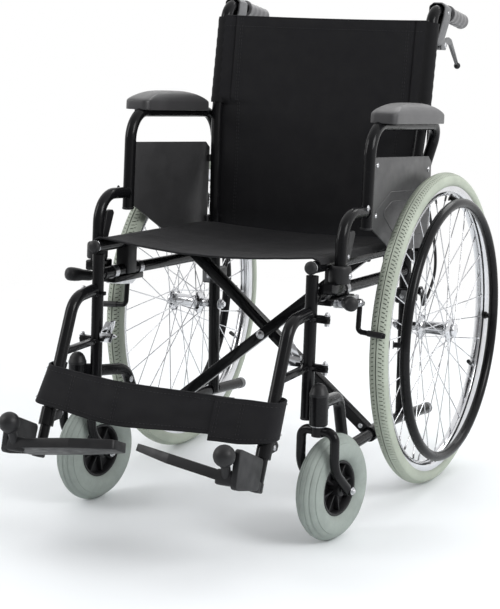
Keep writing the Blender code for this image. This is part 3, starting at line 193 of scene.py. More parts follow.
def along_line(value, start, end, low, high):
    return low + (high - low) * (value - start) / (end - start)


def rail_z(y):
    return along_line(y, *UPPER_RAIL_Y, *UPPER_RAIL_Z)


def rail_x(y):
    return along_line(y, *UPPER_RAIL_Y, FRONT_X, REAR_X)


def seat_rail_z(y):
    return along_line(y, *SEAT_RAIL_Y, *SEAT_RAIL_Z)


def leg_y(z, at_y, at_z):
    return at_y + (z - at_z) * tan(ARM_LEAN)


def rake_down():
    return Vector((0, -sin(RAKE), -cos(RAKE)))


def rake_forward():
    return Vector((0, -cos(PLATE_RISE), sin(PLATE_RISE)))


def hanger_bend(side):
    return at(side, HANGER_X, HANGER_BEND_Y, HANGER_TOP_Z - HANGER_DROP)


def handle_direction():
    return Vector((0, HANDLE_Y - CANE_BEND_Y, HANDLE_Z - CANE_BEND_Z)).normalized()


def handle_point(side, y):
    along = handle_direction()
    return at(side, CANE_X, y, CANE_BEND_Z + (y - CANE_BEND_Y) * along.z / along.y)


def cane_line(z):
    """Where the cane's centre is at a height: how far out, and how far back."""
    corners = [(REAR_X, REAR_Y, 0.4), (REAR_X, REAR_Y, POST_TOP_Z), (CANE_X, *CANE_KNEE),
               (CANE_X, CANE_BEND_Y, CANE_BEND_Z)]
    for (x, y, low), (far_x, far_y, high) in zip(corners, corners[1:]):
        if z <= high:
            return along_line(z, low, high, x, far_x), along_line(z, low, high, y, far_y)
    return CANE_X, CANE_BEND_Y


def cane_route(side):
    """The centre line of the post, the cane and its handle."""
    corners = [(REAR_X, REAR_Y, POST_FOOT_Z), (REAR_X, REAR_Y, POST_TOP_Z), (CANE_X, *CANE_KNEE),
               (CANE_X, CANE_BEND_Y, CANE_BEND_Z), (CANE_X, HANDLE_Y, HANDLE_Z)]
    return rounded([at(side, *corner) for corner in corners], [0.1, 0.1, 0.036])


def rounded(points, radii, step=7):
    """The points of a path with each inner corner turned into an arc."""
    if isinstance(radii, (int, float)):
        radii = [radii] * (len(points) - 2)
    points = [Vector(p) for p in points]
    path = [points[0]]
    for before, corner, after, radius in zip(points, points[1:], points[2:], radii):
        a, b = (before - corner).normalized(), (after - corner).normalized()
        bend = pi - a.angle(b)
        if radius <= 0 or bend < radians(2):
            path.append(corner)
            continue
        reach = radius * tan(bend / 2)
        centre = corner + (a + b).normalized() * radius / cos(bend / 2)
        start, end = corner + a * reach - centre, corner + b * reach - centre
        count = max(2, ceil(degrees(bend) / step))
        for i in range(count + 1):
            t = i / count
            path.append(centre + (start * sin((1 - t) * bend) + end * sin(t * bend)) / sin(bend))
    return path + [points[-1]]


def ring_outline(points, radius, step=15):
    """A closed outline, in the plane, with every corner rounded."""
    points = [Vector((*p, 0)) for p in points]
    middle = (points[0] + points[-1]) / 2
    return [(p.x, p.y) for p in rounded([middle, *points, middle], radius, step)[:-1]]


# Modelling

def choose(*objs):
    """Selects these objects alone, in object mode, the first of them active."""
    if bpy.context.object and bpy.context.object.mode != "OBJECT":
        bpy.ops.object.mode_set(mode="OBJECT")
    bpy.ops.object.select_all(action="DESELECT")
    for obj in objs:
        obj.select_set(True)
    bpy.context.view_layer.objects.active = objs[0]


def edit_all(obj, *steps):
    """Runs edit mode operators with the whole mesh selected."""
    choose(obj)
    bpy.ops.object.mode_set(mode="EDIT")
    for operator, options in steps:
        bpy.ops.mesh.select_all(action="SELECT")
        operator(**options)
    bpy.ops.object.mode_set(mode="OBJECT")
    return obj


def edit_some(obj, kind, wanted):
    """Enters edit mode with only those edges or faces selected that a test picks."""
    choose(obj)
    bpy.ops.object.mode_set(mode="EDIT")
    bpy.ops.mesh.select_mode(type=kind)
    bpy.ops.mesh.select_all(action="DESELECT")
    bpy.ops.object.mode_set(mode="OBJECT")
    for item in obj.data.edges if kind == "EDGE" else obj.data.polygons:
        item.select = wanted(item)
    bpy.ops.object.mode_set(mode="EDIT")


def clean(obj):
    return edit_all(
        obj,
        (bpy.ops.mesh.remove_doubles, {"threshold": 0.000005}),
        (bpy.ops.mesh.delete_loose, {}),
        (bpy.ops.mesh.normals_make_consistent, {"inside": False}),
    )


def placed(obj, place=None):
    """Puts an object where it belongs, with its place in its mesh."""
    if place is not None:
        obj.matrix_world = place
    choose(obj)
    bpy.ops.object.transform_apply(location=True, rotation=True, scale=True)
    return obj


def with_modifier(obj, kind, **options):
    step = obj.modifiers.new(kind.lower(), kind)
    for option, value in options.items():
        setattr(step, option, value)
    choose(obj)
    bpy.ops.object.modifier_apply(modifier=step.name)
    return obj


def softened(obj, width, segments=2):
    return with_modifier(obj, "BEVEL", width=width, segments=segments, limit_method="ANGLE",
                         angle_limit=radians(34), harden_normals=False)


def pipe(path, radius, sides=None, closed=False):
    """A round bar or tube along a path, with its ends closed."""
    sides = sides or sizes().tube_sides
    curve = bpy.data.curves.new("pipe", "CURVE")
    curve.dimensions = "3D"
    curve.bevel_depth = radius
    curve.bevel_resolution = (sides - 4) // 2
    curve.use_fill_caps = not closed
    spline = curve.splines.new("POLY")
    spline.points.add(len(path) - 1)
    for point, spot in zip(spline.points, path):
        point.co = (*spot, 1.0)
    spline.use_cyclic_u = closed
    obj = bpy.data.objects.new("pipe", curve)
    bpy.context.scene.collection.objects.link(obj)
    choose(obj)
    bpy.ops.object.convert(target="MESH")
    return clean(bpy.context.object)


def lathe(profile, place, steps=48):
    """A turned shape: a closed outline of (radius, height) points spun about the local Z."""
    choose_none()
    bpy.ops.mesh.primitive_circle_add(vertices=len(profile), radius=1.0, fill_type="NOTHING")
    obj = bpy.context.object
    for vertex, (radius, height) in zip(obj.data.vertices, profile):
        vertex.co = (radius, 0.0, height)
    bpy.ops.object.mode_set(mode="EDIT")
    bpy.ops.mesh.select_all(action="SELECT")
    bpy.ops.mesh.spin(steps=steps, angle=2 * pi, center=(0, 0, 0), axis=(0, 0, 1))
    bpy.ops.object.mode_set(mode="OBJECT")
    return placed(clean(obj), place)


def choose_none():
    if bpy.context.object and bpy.context.object.mode != "OBJECT":
        bpy.ops.object.mode_set(mode="OBJECT")
    bpy.ops.object.select_all(action="DESELECT")


def bar(start, end, radius, steps=20, chamfer=0.0):
    """A straight round bar with chamfered ends."""
    start, end = Vector(start), Vector(end)
    length = (end - start).length
    edge = chamfer or radius * 0.12
    forward = (1, 0, 0) if abs((end - start).normalized().x) < 0.9 else (0, 1, 0)
    profile = [(0, length), (radius - edge, length), (radius, length - edge), (radius, edge),
               (radius - edge, 0), (0, 0)]
    return lathe(profile, frame_on(start, end - start, forward), steps)


def plate(outline, thickness, place, bevel=0.0006, segments=2):
    """A flat outline as thick as stated, centred on the placing's own plane, with softened edges."""
    choose_none()
    bpy.ops.mesh.primitive_circle_add(vertices=len(outline), radius=1.0, fill_type="NGON")
    obj = bpy.context.object
    for vertex, (x, y) in zip(obj.data.vertices, outline):
        vertex.co = (x, y, 0.0)
    with_modifier(obj, "SOLIDIFY", thickness=thickness, offset=0.0)
    if bevel:
        softened(obj, bevel, segments)
    return placed(clean(obj), place)


def slab(centre, size, bevel=0.001, turn=None, segments=2):
    """A bar of rectangular section with softened edges."""
    choose_none()
    bpy.ops.mesh.primitive_cube_add(size=1.0)
    obj = bpy.context.object
    obj.scale = size
    placed(obj)
    if bevel:
        softened(obj, bevel, segments)
    return placed(obj, Matrix.Translation(Vector(centre)) @ (turn.to_4x4() if turn else Matrix()))


def through_bar(centre, reach, radius, steps=20):
    """A round bar that reaches equally far to both sides of its centre."""
    return bar(centre - reach, centre + reach, radius, steps)


def mirrored(profile):
    """The other half of a turned outline that is the same on both sides."""
    return [(radius, -height) for radius, height in reversed(profile)]


def hexagon(radius):
    return [(radius * cos(pi / 3 * i), radius * sin(pi / 3 * i)) for i in range(6)]


def ball(centre, radius, segments=28):
    choose_none()
    bpy.ops.mesh.primitive_uv_sphere_add(segments=segments, ring_count=segments // 2, radius=radius,
                                         location=centre)
    return placed(bpy.context.object)


def bead(centre, normal, radius, thickness=0.0015):
    """A weld bead round a tube where it meets another."""
    place = frame_on(centre, normal, (1, 0, 0) if abs(Vector(normal).normalized().x) < 0.9 else (0, 1, 0))
    choose_none()
    bpy.ops.mesh.primitive_torus_add(major_radius=radius, minor_radius=thickness, major_segments=36,
                                     minor_segments=8)
    obj = bpy.context.object
    for vertex in obj.data.vertices:
        angle = atan2(vertex.co.y, vertex.co.x)
        vertex.co.z += 0.0004 * sin(angle * 17)
    return placed(obj, place)


def bolt_head(centre, normal, radius, height, kind="hex", finish="zinc"):
    """A bolt head or nut on its washer: hexagonal, domed, or round with a cross recess."""
    forward = (0, 0, 1) if abs(Vector(normal).normalized().z) < 0.9 else (1, 0, 0)
    place = frame_on(centre, normal, forward)
    edge = radius * 1.35
    parts = [lathe([(0, WASHER), (radius * 1.28, WASHER), (edge, 0.0006), (edge, 0), (0, 0)], place, 24)]
    if kind in {"hex", "dome"}:
        tall = height * (0.55 if kind == "dome" else 1.0)
        parts.append(plate(hexagon(radius), tall, place @ Matrix.Translation((0, 0, WASHER + tall / 2)), 0.0004))
    if kind in {"dome", "screw"}:
        low = WASHER + (height * 0.55 if kind == "dome" else 0.0)
        wide = radius * (0.84 if kind == "dome" else 1.0)
        tall = height * (0.75 if kind == "dome" else 0.8)
        profile = [(wide * sin(radians(a)), low + tall * cos(radians(a))) for a in range(0, 91, 15)]
        parts.append(lathe([(0, low + tall), *profile[1:], (0, low)], place, 24))
    if kind == "screw":
        for turn in (0, pi / 2):
            parts.append(slab((0, 0, 0), (radius * 1.1, radius * 0.22, 0.0008), 0.0,
                              Matrix.Rotation(turn, 3, "Z")))
            placed(parts[-1], place @ Matrix.Translation((0, 0, 0.0007 + height * 0.8)))
    return painted(joined(parts), finish)


def joined(parts):
    parts = list(parts)
    choose(*parts)
    if len(parts) > 1:
        bpy.ops.object.join()
    return bpy.context.object


def painted(obj, finish):
    """Gives a part one finish all over."""
    obj.data.materials.clear()
    obj.data.materials.append(FINISHES[finish]())
    return obj


def coated(finish, *parts):
    """Gives several parts the same finish."""
    return [painted(part, finish) for part in parts]


def carved(obj, *cutters):
    for cutter in cutters:
        with_modifier(obj, "BOOLEAN", operation="DIFFERENCE", solver="EXACT", object=cutter)
        bpy.data.objects.remove(cutter, do_unlink=True)
    return clean(obj)


def piece(name, body, parts, node=None, smooth=38):
    """Joins painted parts into one named piece that moves with a body and stands for its node."""
    obj = joined(parts)
    obj.name = obj.data.name = name
    placed(obj)
    bpy.ops.object.shade_smooth_by_angle(angle=radians(smooth))
    if body:
        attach(obj, body)
    if node:
        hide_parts(*([node] if isinstance(node, str) else node))
    return obj


def sided(name, label, body, parts, node, smooth=38):
    """A piece of one side: its name, body and node begin with that side's name."""
    return piece(f"{name}_{label}", f"{name}_{body}", parts, node and f"{name}_{node}", smooth)


def surface(columns, rows, spot, width, length):
    """A grid laid over spot(u, v), with its weave measured in metres along the cloth."""
    choose_none()
    bpy.ops.mesh.primitive_grid_add(x_subdivisions=columns, y_subdivisions=rows, size=1.0)
    obj = bpy.context.object
    layer = obj.data.uv_layers.active.data
    for loop in obj.data.loops:
        flat = obj.data.vertices[loop.vertex_index].co
        layer[loop.index].uv = ((flat.x + 0.5) * width, (flat.y + 0.5) * length)
    for vertex in obj.data.vertices:
        vertex.co = spot(vertex.co.x + 0.5, vertex.co.y + 0.5)
    return obj


def cloth_sheet(columns, rows, spot, width, length, thickness):
    """A woven sheet as thick as stated, laid over spot(u, v)."""
    obj = surface(columns, rows, spot, width, length)
    with_modifier(obj, "SOLIDIFY", thickness=thickness, offset=0.0, use_rim=True)
    return painted(clean(obj), "nylon")


def evenly(spot, count, start, reach):
    """Points spot(t) at even steps from a start over a reach."""
    return [spot(start + reach * i / count) for i in range(count + 1)]


def ripple(x, y, z=0.0):
    return noise.noise(Vector((x, y, z)))


def stitches(path, normal):
    """A run of thread along a path, one small bar to each stitch."""
    length = sizes().stitch
    spacing = length * 1.7
    spots, reach = [], 0.0
    for start, end in zip(path, path[1:]):
        run = end - start
        while reach < run.length:
            spots.append((start + run * (reach / run.length), run.normalized()))
            reach += spacing
        reach -= run.length
    first = slab((0, 0, 0), (length, 0.0009, 0.0007), 0.0002, None, 1)
    made = []
    for spot, direction in spots:
        copy = first.copy()
        copy.data = first.data.copy()
        bpy.context.scene.collection.objects.link(copy)
        copy.data.transform(frame_on(spot, normal, direction))
        made.append(copy)
    bpy.data.objects.remove(first, do_unlink=True)
    return painted(joined(made), "thread")


# Finishes

def new_finish(name, tone, roughness, metallic=0.0, **sockets):
    """A Principled finish; returns its material, nodes, links and shader."""
    made = bpy.data.materials.new(name)
    made.use_nodes = True
    nodes, links = made.node_tree.nodes, made.node_tree.links
    shader = nodes["Principled BSDF"]
    shader.inputs["Base Color"].default_value = (*tone, 1.0)
    shader.inputs["Roughness"].default_value = roughness
    shader.inputs["Metallic"].default_value = metallic
    for socket, value in sockets.items():
        shader.inputs[socket.replace("_", " ")].default_value = value
    return made, nodes, links, shader


def noise_node(nodes, links, vector, scale, detail=3.0, roughness=0.55):
    found = nodes.new("ShaderNodeTexNoise")
    found.inputs["Scale"].default_value = scale
    found.inputs["Detail"].default_value = detail
    found.inputs["Roughness"].default_value = roughness
    links.new(vector, found.inputs["Vector"])
    return found.outputs["Fac"]


def spread(nodes, links, value, low, high, start=0.3, end=0.7):
    """Maps a noise value to a range."""
    found = nodes.new("ShaderNodeMapRange")
    found.inputs["From Min"].default_value = start
    found.inputs["From Max"].default_value = end
    found.inputs["To Min"].default_value = low
    found.inputs["To Max"].default_value = high
    links.new(value, found.inputs["Value"])
    return found.outputs["Result"]


def blended(nodes, links, factor, low, high):
    found = nodes.new("ShaderNodeMix")
    found.data_type = "RGBA"
    links.new(factor, found.inputs["Factor"])
    found.inputs["A"].default_value = (*low, 1.0)
    found.inputs["B"].default_value = (*high, 1.0)
    return found.outputs["Result"]


def bumped(nodes, links, shader, height, strength, distance=0.001):
    found = nodes.new("ShaderNodeBump")
    found.inputs["Strength"].default_value = strength
    found.inputs["Distance"].default_value = distance
    links.new(height, found.inputs["Height"])
    links.new(found.outputs["Normal"], shader.inputs["Normal"])


def object_space(nodes):
    return nodes.new("ShaderNodeTexCoord").outputs["Object"]


def scaled(tone, factor):
    return tuple(min(1.0, value * factor) for value in tone)


def clouded(nodes, links, shader, value, tone, low, high, start=0.3, end=0.7):
    """Lets the base colour wander between a darker and a lighter tone."""
    links.new(blended(nodes, links, spread(nodes, links, value, 0.0, 1.0, start, end),
                      scaled(tone, low), scaled(tone, high)), shader.inputs["Base Color"])


def worn_finish(name, tone, rough, metallic=0.0, mottle=0.25, grain=900.0, depth=0.05, cloud=14.0, **sockets):
    """A finish whose colour clouds, whose gloss varies and whose skin has a fine grain."""
    made, nodes, links, shader = new_finish(name, tone, rough, metallic, **sockets)
    space = object_space(nodes)
    clouded(nodes, links, shader, noise_node(nodes, links, space, cloud, 4.0), tone, 1 - mottle, 1 + mottle)
    smear = noise_node(nodes, links, space, cloud * 4.0, 5.0)
    links.new(spread(nodes, links, smear, rough * 0.78, min(1.0, rough * 1.25)), shader.inputs["Roughness"])
    bumped(nodes, links, shader, noise_node(nodes, links, space, grain, 2.0), depth)
    return made


def rubber_finish(name, tone, rough, cloud):
    """Solid tyre rubber: dusty clouds, scuffs and a dull grain."""
    made, nodes, links, shader = new_finish(name, tone, rough)
    space = object_space(nodes)
    clouded(nodes, links, shader, noise_node(nodes, links, space, cloud, 6.0, 0.6), tone, 0.88, 1.08, 0.35, 0.65)
    scuff = noise_node(nodes, links, space, 240.0, 4.0)
    links.new(spread(nodes, links, scuff, rough * 0.88, min(1.0, rough * 1.15)), shader.inputs["Roughness"])
    bumped(nodes, links, shader, scuff, 0.14, 0.0008)
    return made


def pad_finish(name, tone):
    """Foamed arm pad skin with a pebbled leather grain."""
    made, nodes, links, shader = new_finish(name, tone, 0.4, Sheen_Weight=0.22, Specular_IOR_Level=0.6)
    space = object_space(nodes)
    pebbles = nodes.new("ShaderNodeTexVoronoi")
    pebbles.inputs["Scale"].default_value = 620.0
    links.new(space, pebbles.inputs["Vector"])
    wide = noise_node(nodes, links, space, 18.0, 4.0)
    clouded(nodes, links, shader, wide, tone, 0.8, 1.25)
    links.new(spread(nodes, links, wide, 0.38, 0.52), shader.inputs["Roughness"])
    bumped(nodes, links, shader, pebbles.outputs["Distance"], 0.16, 0.0006)
    return made


def combined(nodes, links, operation, first, second):
    found = nodes.new("ShaderNodeMath")
    found.operation = operation
    links.new(first, found.inputs[0])
    links.new(second, found.inputs[1])
    return found.outputs[0]


def nylon_finish(name, tone):
    """Coarse plain weave: warp and weft threads that pass over each other, with a slight sheen."""
    made, nodes, links, shader = new_finish(name, tone, 0.82, Sheen_Weight=0.06, Sheen_Roughness=0.45,
                                            Specular_IOR_Level=0.22)
    spot = nodes.new("ShaderNodeTexCoord").outputs["UV"]
    threads = []
    for direction in ("X", "Y"):
        thread = nodes.new("ShaderNodeTexWave")
        thread.wave_type = "BANDS"
        thread.bands_direction = direction
        for socket, value in (("Scale", 230.0), ("Distortion", 0.6), ("Detail", 1.0), ("Detail Scale", 3.0)):
            thread.inputs[socket].default_value = value
        links.new(spot, thread.inputs["Vector"])
        threads.append(thread.outputs["Fac"])
    weave = combined(nodes, links, "MAXIMUM", *threads)
    slub = noise_node(nodes, links, spot, 26.0, 6.0, 0.6)
    level = combined(nodes, links, "MULTIPLY", weave, spread(nodes, links, slub, 0.65, 1.15))
    links.new(blended(nodes, links, level, scaled(tone, 0.62), scaled(tone, 1.35)), shader.inputs["Base Color"])
    links.new(spread(nodes, links, slub, 0.68, 0.88), shader.inputs["Roughness"])
    bumped(nodes, links, shader, weave, 0.32, 0.0006)
    return made


def kept(name, make, tone, factor=1.0, **options):
    """A finish that is made once, when first asked for, in one of the user's colours or a tone of its own."""
    def fetch():
        shade = getattr(colours(), tone) if isinstance(tone, str) else tone
        return bpy.data.materials.get(name) or make(name, scaled(shade, factor), **options)
    return fetch


FINISHES = {
    "paint": kept("gloss_black_paint", worn_finish, "paint", rough=0.24, mottle=0.12, grain=420.0, depth=0.018,
                  Coat_Weight=0.18, Coat_Roughness=0.05, Specular_IOR_Level=0.08),
    "chrome": kept("chrome_plate", worn_finish, "chrome", rough=0.16, metallic=1.0, mottle=0.06, grain=260.0,
                   depth=0.012, cloud=30.0),
    "zinc": kept("zinc_hardware", worn_finish, "chrome", 0.82, rough=0.3, metallic=1.0, mottle=0.15, depth=0.03,
                 cloud=120.0),
    "plastic": kept("black_plastic", worn_finish, "plastic", rough=0.46, mottle=0.2, grain=2200.0,
                    Specular_IOR_Level=0.32),
    # The caps' and covers' own grey. On the lever housing, its cheeks and the lever, which are black plastic, this grey
    # is a painted reflection of the white studio.
    "grey": kept("grey_plastic", worn_finish, (0.125, 0.127, 0.132), rough=0.48, mottle=0.15, grain=1800.0),
    "guard": kept("guard_plastic", worn_finish, "guard", rough=0.4, mottle=0.12, grain=1500.0, depth=0.1,
                  cloud=9.0, Specular_IOR_Level=0.5),
    # The grip's base colour is the rubber's own dark tone with a painted sheen added on top.
    "grip": kept("grip_rubber", worn_finish, "grip", rough=0.4, mottle=0.2, grain=1400.0, depth=0.08,
                 Sheen_Weight=0.15, Specular_IOR_Level=0.6),
    "pad": kept("pad_skin", pad_finish, "pad"),
    "nylon": kept("woven_nylon", nylon_finish, "nylon"),
    "thread": kept("seam_thread", worn_finish, (0.014, 0.014, 0.016), rough=0.7, grain=3000.0),
    "tyre": kept("tyre_rubber", rubber_finish, "tyre", rough=0.72, cloud=10.0),
    # Rubber at a sixth of the tyre's tone for the notches and the middle groove: painted shade in the recesses.
    "groove": kept("tyre_grooves", rubber_finish, "tyre", 0.16, rough=0.85, cloud=30.0),
    "caster": kept("caster_rubber", rubber_finish, "caster", rough=0.66, cloud=22.0),
}


# Frame

def lug_place(side, z):
    """Where one of the footrest lugs grows out of the front post."""
    return leant(side, FRONT_X, post_y(z), z, FRONT_LEAN)


def rail_slope():
    return atan2(UPPER_RAIL_Z[1] - UPPER_RAIL_Z[0], UPPER_RAIL_Y[1] - UPPER_RAIL_Y[0])


def seat_rail_bar(side, y, reach, radius):
    """A length of the seat rail, to cut the pieces with that it lies in."""
    return bar(at(side, SEAT_RAIL_X, y - reach, seat_rail_z(y - reach)),
               at(side, SEAT_RAIL_X, y + reach, seat_rail_z(y + reach)), radius, 32)


def frame_tubes(side):
    """Welded tubes of one side frame, with the caster housing, the footrest lugs and the arm's shelf."""
    lower = rounded([
        at(side, STEM_X - 0.004, STEM_Y + 0.008, 0.254), at(side, 0.2225, -0.343, 0.236),
        at(side, LOWER_RAIL_X, -0.296, LOWER_RAIL_Z), at(side, LOWER_RAIL_X, -0.04, LOWER_RAIL_Z),
        at(side, LOWER_RAIL_X, 0.132, 0.1065),
    ], [0.036, 0.036, 0.15])
    upper = [at(side, x, y, z) for x, y, z in zip((FRONT_X, REAR_X), UPPER_RAIL_Y, UPPER_RAIL_Z)]
    post = [at(side, FRONT_X, post_y(z), z) for z in FRONT_POST_Z]
    low, high = HOUSING_Z
    inset = HOUSING_R - 0.001
    tubes = [pipe(post, TUBE_R), pipe(cane_route(side), CANE_R), pipe(upper, TUBE_R), pipe(lower, 0.0108)]
    tubes.append(lathe([(0, high), (inset, high), (HOUSING_R, high - 0.001), (HOUSING_R, low + 0.001), (inset, low),
                        (0, low)], Matrix.Translation(at(side, STEM_X, STEM_Y, 0)), 40))
    web_z = 0.248
    foot = post_y(web_z)
    tubes.append(slab(at(side, (FRONT_X + STEM_X) / 2, (foot + STEM_Y) / 2, web_z), (0.022, 0.0085, 0.044), 0.0015,
                      Matrix.Rotation(side * atan2(STEM_Y - foot, STEM_X - FRONT_X), 3, "Z")))
    along_upper = upper[1] - upper[0]
    weld_r, weld_x = TUBE_R + 0.0004, LOWER_RAIL_X - 0.0005
    tubes += [
        bead(upper[0] + along_upper.normalized() * 0.0112, along_upper, weld_r),
        bead(upper[1] - along_upper.normalized() * 0.0117, along_upper, weld_r),
        bead(at(side, weld_x, -0.014, LOWER_RAIL_Z), (0, 1, 0), weld_r),
        bead(at(side, weld_x, 0.01, LOWER_RAIL_Z - 0.0008), (0, 1, -0.05), weld_r),
        bead(at(side, STEM_X - 0.0065, STEM_Y + 0.02, 0.2518), (-side * 0.13, 1, -0.1), TUBE_R + 0.0006),
    ]
    root, tip = side * 0.006, side * (PIN_DX + 0.0052)
    for z in LUG_Z:
        for tine in (-0.0045, 0.0045):
            tubes.append(plate(ring_outline([(root, -0.0065), (tip, -0.0062), (tip, 0.0066), (root, 0.0065)], 0.005),
                               0.0036, lug_place(side, z) @ Matrix.Translation((0, 0, tine)), 0.0005))
    tubes.append(slab(at(side, 0.237, -0.415, 0.448), (0.0255, 0.0555, 0.019), 0.003,
                      Matrix.Rotation(-ARM_LEAN, 3, "X")))
    return coated("paint", *tubes)


def frame_hardware(side):
    """Nuts, bolts and end caps of one side frame."""
    made = []
    for z in LUG_Z:
        place = lug_place(side, z) @ Matrix.Translation((side * PIN_DX, PIN_DY, 0))
        up = place.to_3x3() @ Vector((0, 0, 1))
        centre = place.translation
        made.append(bolt_head(centre + up * 0.0063, up, 0.0046, 0.0044, "dome"))
        made.append(bolt_head(centre - up * 0.0063, -up, 0.0046, 0.0044))
        made.append(painted(through_bar(centre, up * 0.006, 0.0029), "zinc"))
    high, wide = HOUSING_Z[1], HOUSING_R + 0.0004
    cap = [(0, high + 0.0178), (0.0055, high + 0.017), (0.01, high + 0.014), (0.0135, high + 0.009),
           (HOUSING_R - 0.0004, high + 0.001), (wide, high), (wide, high - 0.0045),
           (HOUSING_R - 0.001, high - 0.005), (0, high - 0.005)]
    made.append(painted(lathe(cap, Matrix.Translation(at(side, STEM_X, STEM_Y, 0)), 40), "plastic"))
    tip, near = at(side, LOWER_RAIL_X, 0.1362, 0.1061), at(side, LOWER_RAIL_X, 0.118, 0.108)
    made.append(painted(bar(near, tip, 0.0116, 28, 0.0025), "grey"))
    plug = Vector((0, 0, 0.004))
    foot = at(side, FRONT_X, post_y(FRONT_POST_Z[0]), FRONT_POST_Z[0])
    base = at(side, REAR_X, REAR_Y, POST_FOOT_Z - 0.0006)
    made += coated("plastic", bar(foot - Vector((0, 0, 0.0006)), foot + plug, 0.0114, 28, 0.001),
                   bar(base, base + plug, 0.0119, 28, 0.001))
    hump = at(side, 0.217, -0.349, 0.218)
    made.append(bolt_head(hump + Vector((-side * 0.0105, 0, 0)), (-side, 0, 0), 0.0045, 0.003, "screw"))
    for y in CRADLE_Y:
        outer = at(side, rail_x(y) + 0.0138, y, rail_z(y) + 0.002)
        made.append(bolt_head(outer, (side, 0, 0), 0.004, 0.0028, "screw"))
    made.append(bolt_head(at(side, REAR_X + 0.003, REAR_Y - 0.0195, BRAKE_BODY_Z), (0, -1, 0), 0.0045, 0.003))
    return made


def seat_cradle(side, y):
    """Moulded cradle on the upper rail that the seat rail drops into."""
    body = slab(at(side, rail_x(y), y, (rail_z(y) + seat_rail_z(y)) / 2 - 0.005), (0.0275, 0.032, 0.056), 0.0025,
                Matrix.Rotation(rail_slope(), 3, "X"), 3)
    rail = seat_rail_bar(side, y, 0.04, TUBE_R + 0.0005)
    mouth = slab(at(side, SEAT_RAIL_X, y, seat_rail_z(y) + 0.02), (0.023, 0.06, 0.04), 0.0)
    return painted(carved(body, rail, mouth), "plastic")


def arm_sockets(side):
    """The rings that the armrest's feet stand in, and the clamp of the rear one."""
    ring_z, rear_z, clamp_z = 0.456, 0.431, 0.444
    front_y = leg_y(ring_z, *ARM_STEP)
    front = lathe([(ARM_TUBE + 0.0006, 0.0308), (0.0165, 0.0315), (0.0188, 0.0295), (0.0195, 0.0265),
                   (0.0195, 0.0045), (0.0185, 0.0012), (0.0165, 0.0), (ARM_TUBE + 0.0006, 0.0)],
                  leant(side, ARM_X, front_y, ring_z, ARM_LEAN), 44)
    front = carved(front, seat_rail_bar(side, front_y, 0.05, TUBE_R + 0.0006))
    bore = ARM_TUBE + 0.0004
    ring = lathe([(bore, 0.026), (0.0124, 0.026), (0.013, 0.0254), (0.013, 0.0006), (0.0124, 0.0), (bore, 0.0)],
                 leant(side, ARM_REAR_X, leg_y(rear_z, *ARM_REAR), rear_z, ARM_LEAN), 36)
    across, back = ARM_REAR_X - REAR_X, leg_y(clamp_z, *ARM_REAR) - REAR_Y
    gap = sqrt(across * across + back * back)
    share = (gap - ARM_TUBE - 0.0009) / gap / 2
    link = slab(at(side, REAR_X + across * share, REAR_Y + back * share, clamp_z), (0.015, 2 * share * gap, 0.018),
                0.0015, Matrix.Rotation(-side * atan2(across, back), 3, "Z"))
    knob = bolt_head(at(side, ARM_X + 0.019, front_y + 0.002, 0.47), (side, 0, 0), 0.0042, 0.0028, "screw")
    return [painted(front, "plastic"), *coated("paint", ring, link), knob]


def attendant_brake(side):
    """Attendant brake body on the rear post, with its cover plate."""
    body = slab(at(side, REAR_X + 0.003, REAR_Y + 0.006, BRAKE_BODY_Z), (0.034, 0.05, 0.03), 0.004, None, 3)
    slot = slab(at(side, PULLER_PIVOT[0], 0.041, BRAKE_BODY_Z), (0.007, 0.05, 0.05), 0.0)
    cover = plate(ring_outline([(-0.009, -0.012), (0.009, -0.012), (0.009, 0.012), (-0.009, 0.012)], 0.003), 0.0022,
                  frame_on(at(side, REAR_X + 0.0085, REAR_Y - 0.0196, BRAKE_BODY_Z), (0, -1, 0), (1, 0, 0)), 0.0005)
    return [painted(carved(body, slot), "plastic"), painted(cover, "grey")]


def build_side_frame(side, name):
    parts = frame_tubes(side) + frame_hardware(side) + arm_sockets(side) + attendant_brake(side)
    parts += [seat_cradle(side, y) for y in CRADLE_Y]
    sided(name, "frame_tubes", "frame", parts, "side_frame")


def build_brace(letter, side):
    """One square brace member with its sleeve on the lower rail and the seat rail on its upper end."""
    y = BRACE_Y[letter]
    low, high = at(side, LOWER_RAIL_X, y, LOWER_RAIL_Z), at(-side, SEAT_RAIL_X, y, BRACE_UPPER_Z)
    run = high - low
    weld = run.normalized()
    end = high - weld * 0.009
    turn = Matrix.Rotation(-atan2(run.z, run.x), 3, "Y")
    front = low - Vector((0, BRACE_SIZE / 2, 0))
    rail = [at(-side, SEAT_RAIL_X, SEAT_RAIL_Y[i], SEAT_RAIL_Z[i]) for i in (0, 1)]
    parts = coated(
        "paint",
        slab((low + end) / 2, ((end - low).length, BRACE_SIZE, BRACE_SIZE), 0.0026, turn, 4),
        lathe([(0.0118, 0.046), (0.014, 0.046), (0.0146, 0.0454), (0.0146, 0.0006), (0.014, 0.0), (0.0118, 0.0)],
              frame_on(front, (0, 1, 0), (1, 0, 0)), 40),
        pipe(rail, TUBE_R),
        bead(high - weld * 0.0105, weld, TUBE_R + 0.002, 0.0018),
    )
    forward = (rail[0] - rail[1]).normalized()
    up = (0, 0, 1)
    plug = lathe([(0, 0.0075), (0.007, 0.0072), (0.01, 0.0055), (0.0117, 0.0015), (0.0117, -0.001),
                  (0, -0.001)], frame_on(rail[0], forward, up), 36)
    ring = lathe([(0, 0.0006), (0.0116, 0.0006), (0.0118, 0.0), (0.0118, -0.0016), (0, -0.0016)],
                 frame_on(rail[0] - forward * 0.001, forward, up), 36)
    stopper = lathe([(0, 0.003), (0.009, 0.0028), (0.0114, 0.001), (0.0114, -0.001), (0, -0.001)],
                    frame_on(rail[1], -forward, up), 36)
    parts += [painted(plug, "plastic"), painted(ring, "chrome"), painted(stopper, "plastic")]
    parts.append(bolt_head(front + Vector((-side * 0.018, 0, 0.015)), (0, -1, 0), 0.0034, 0.0024, "screw"))
    piece("brace_" + letter + "_member", "brace_" + letter, parts, "brace_" + letter)


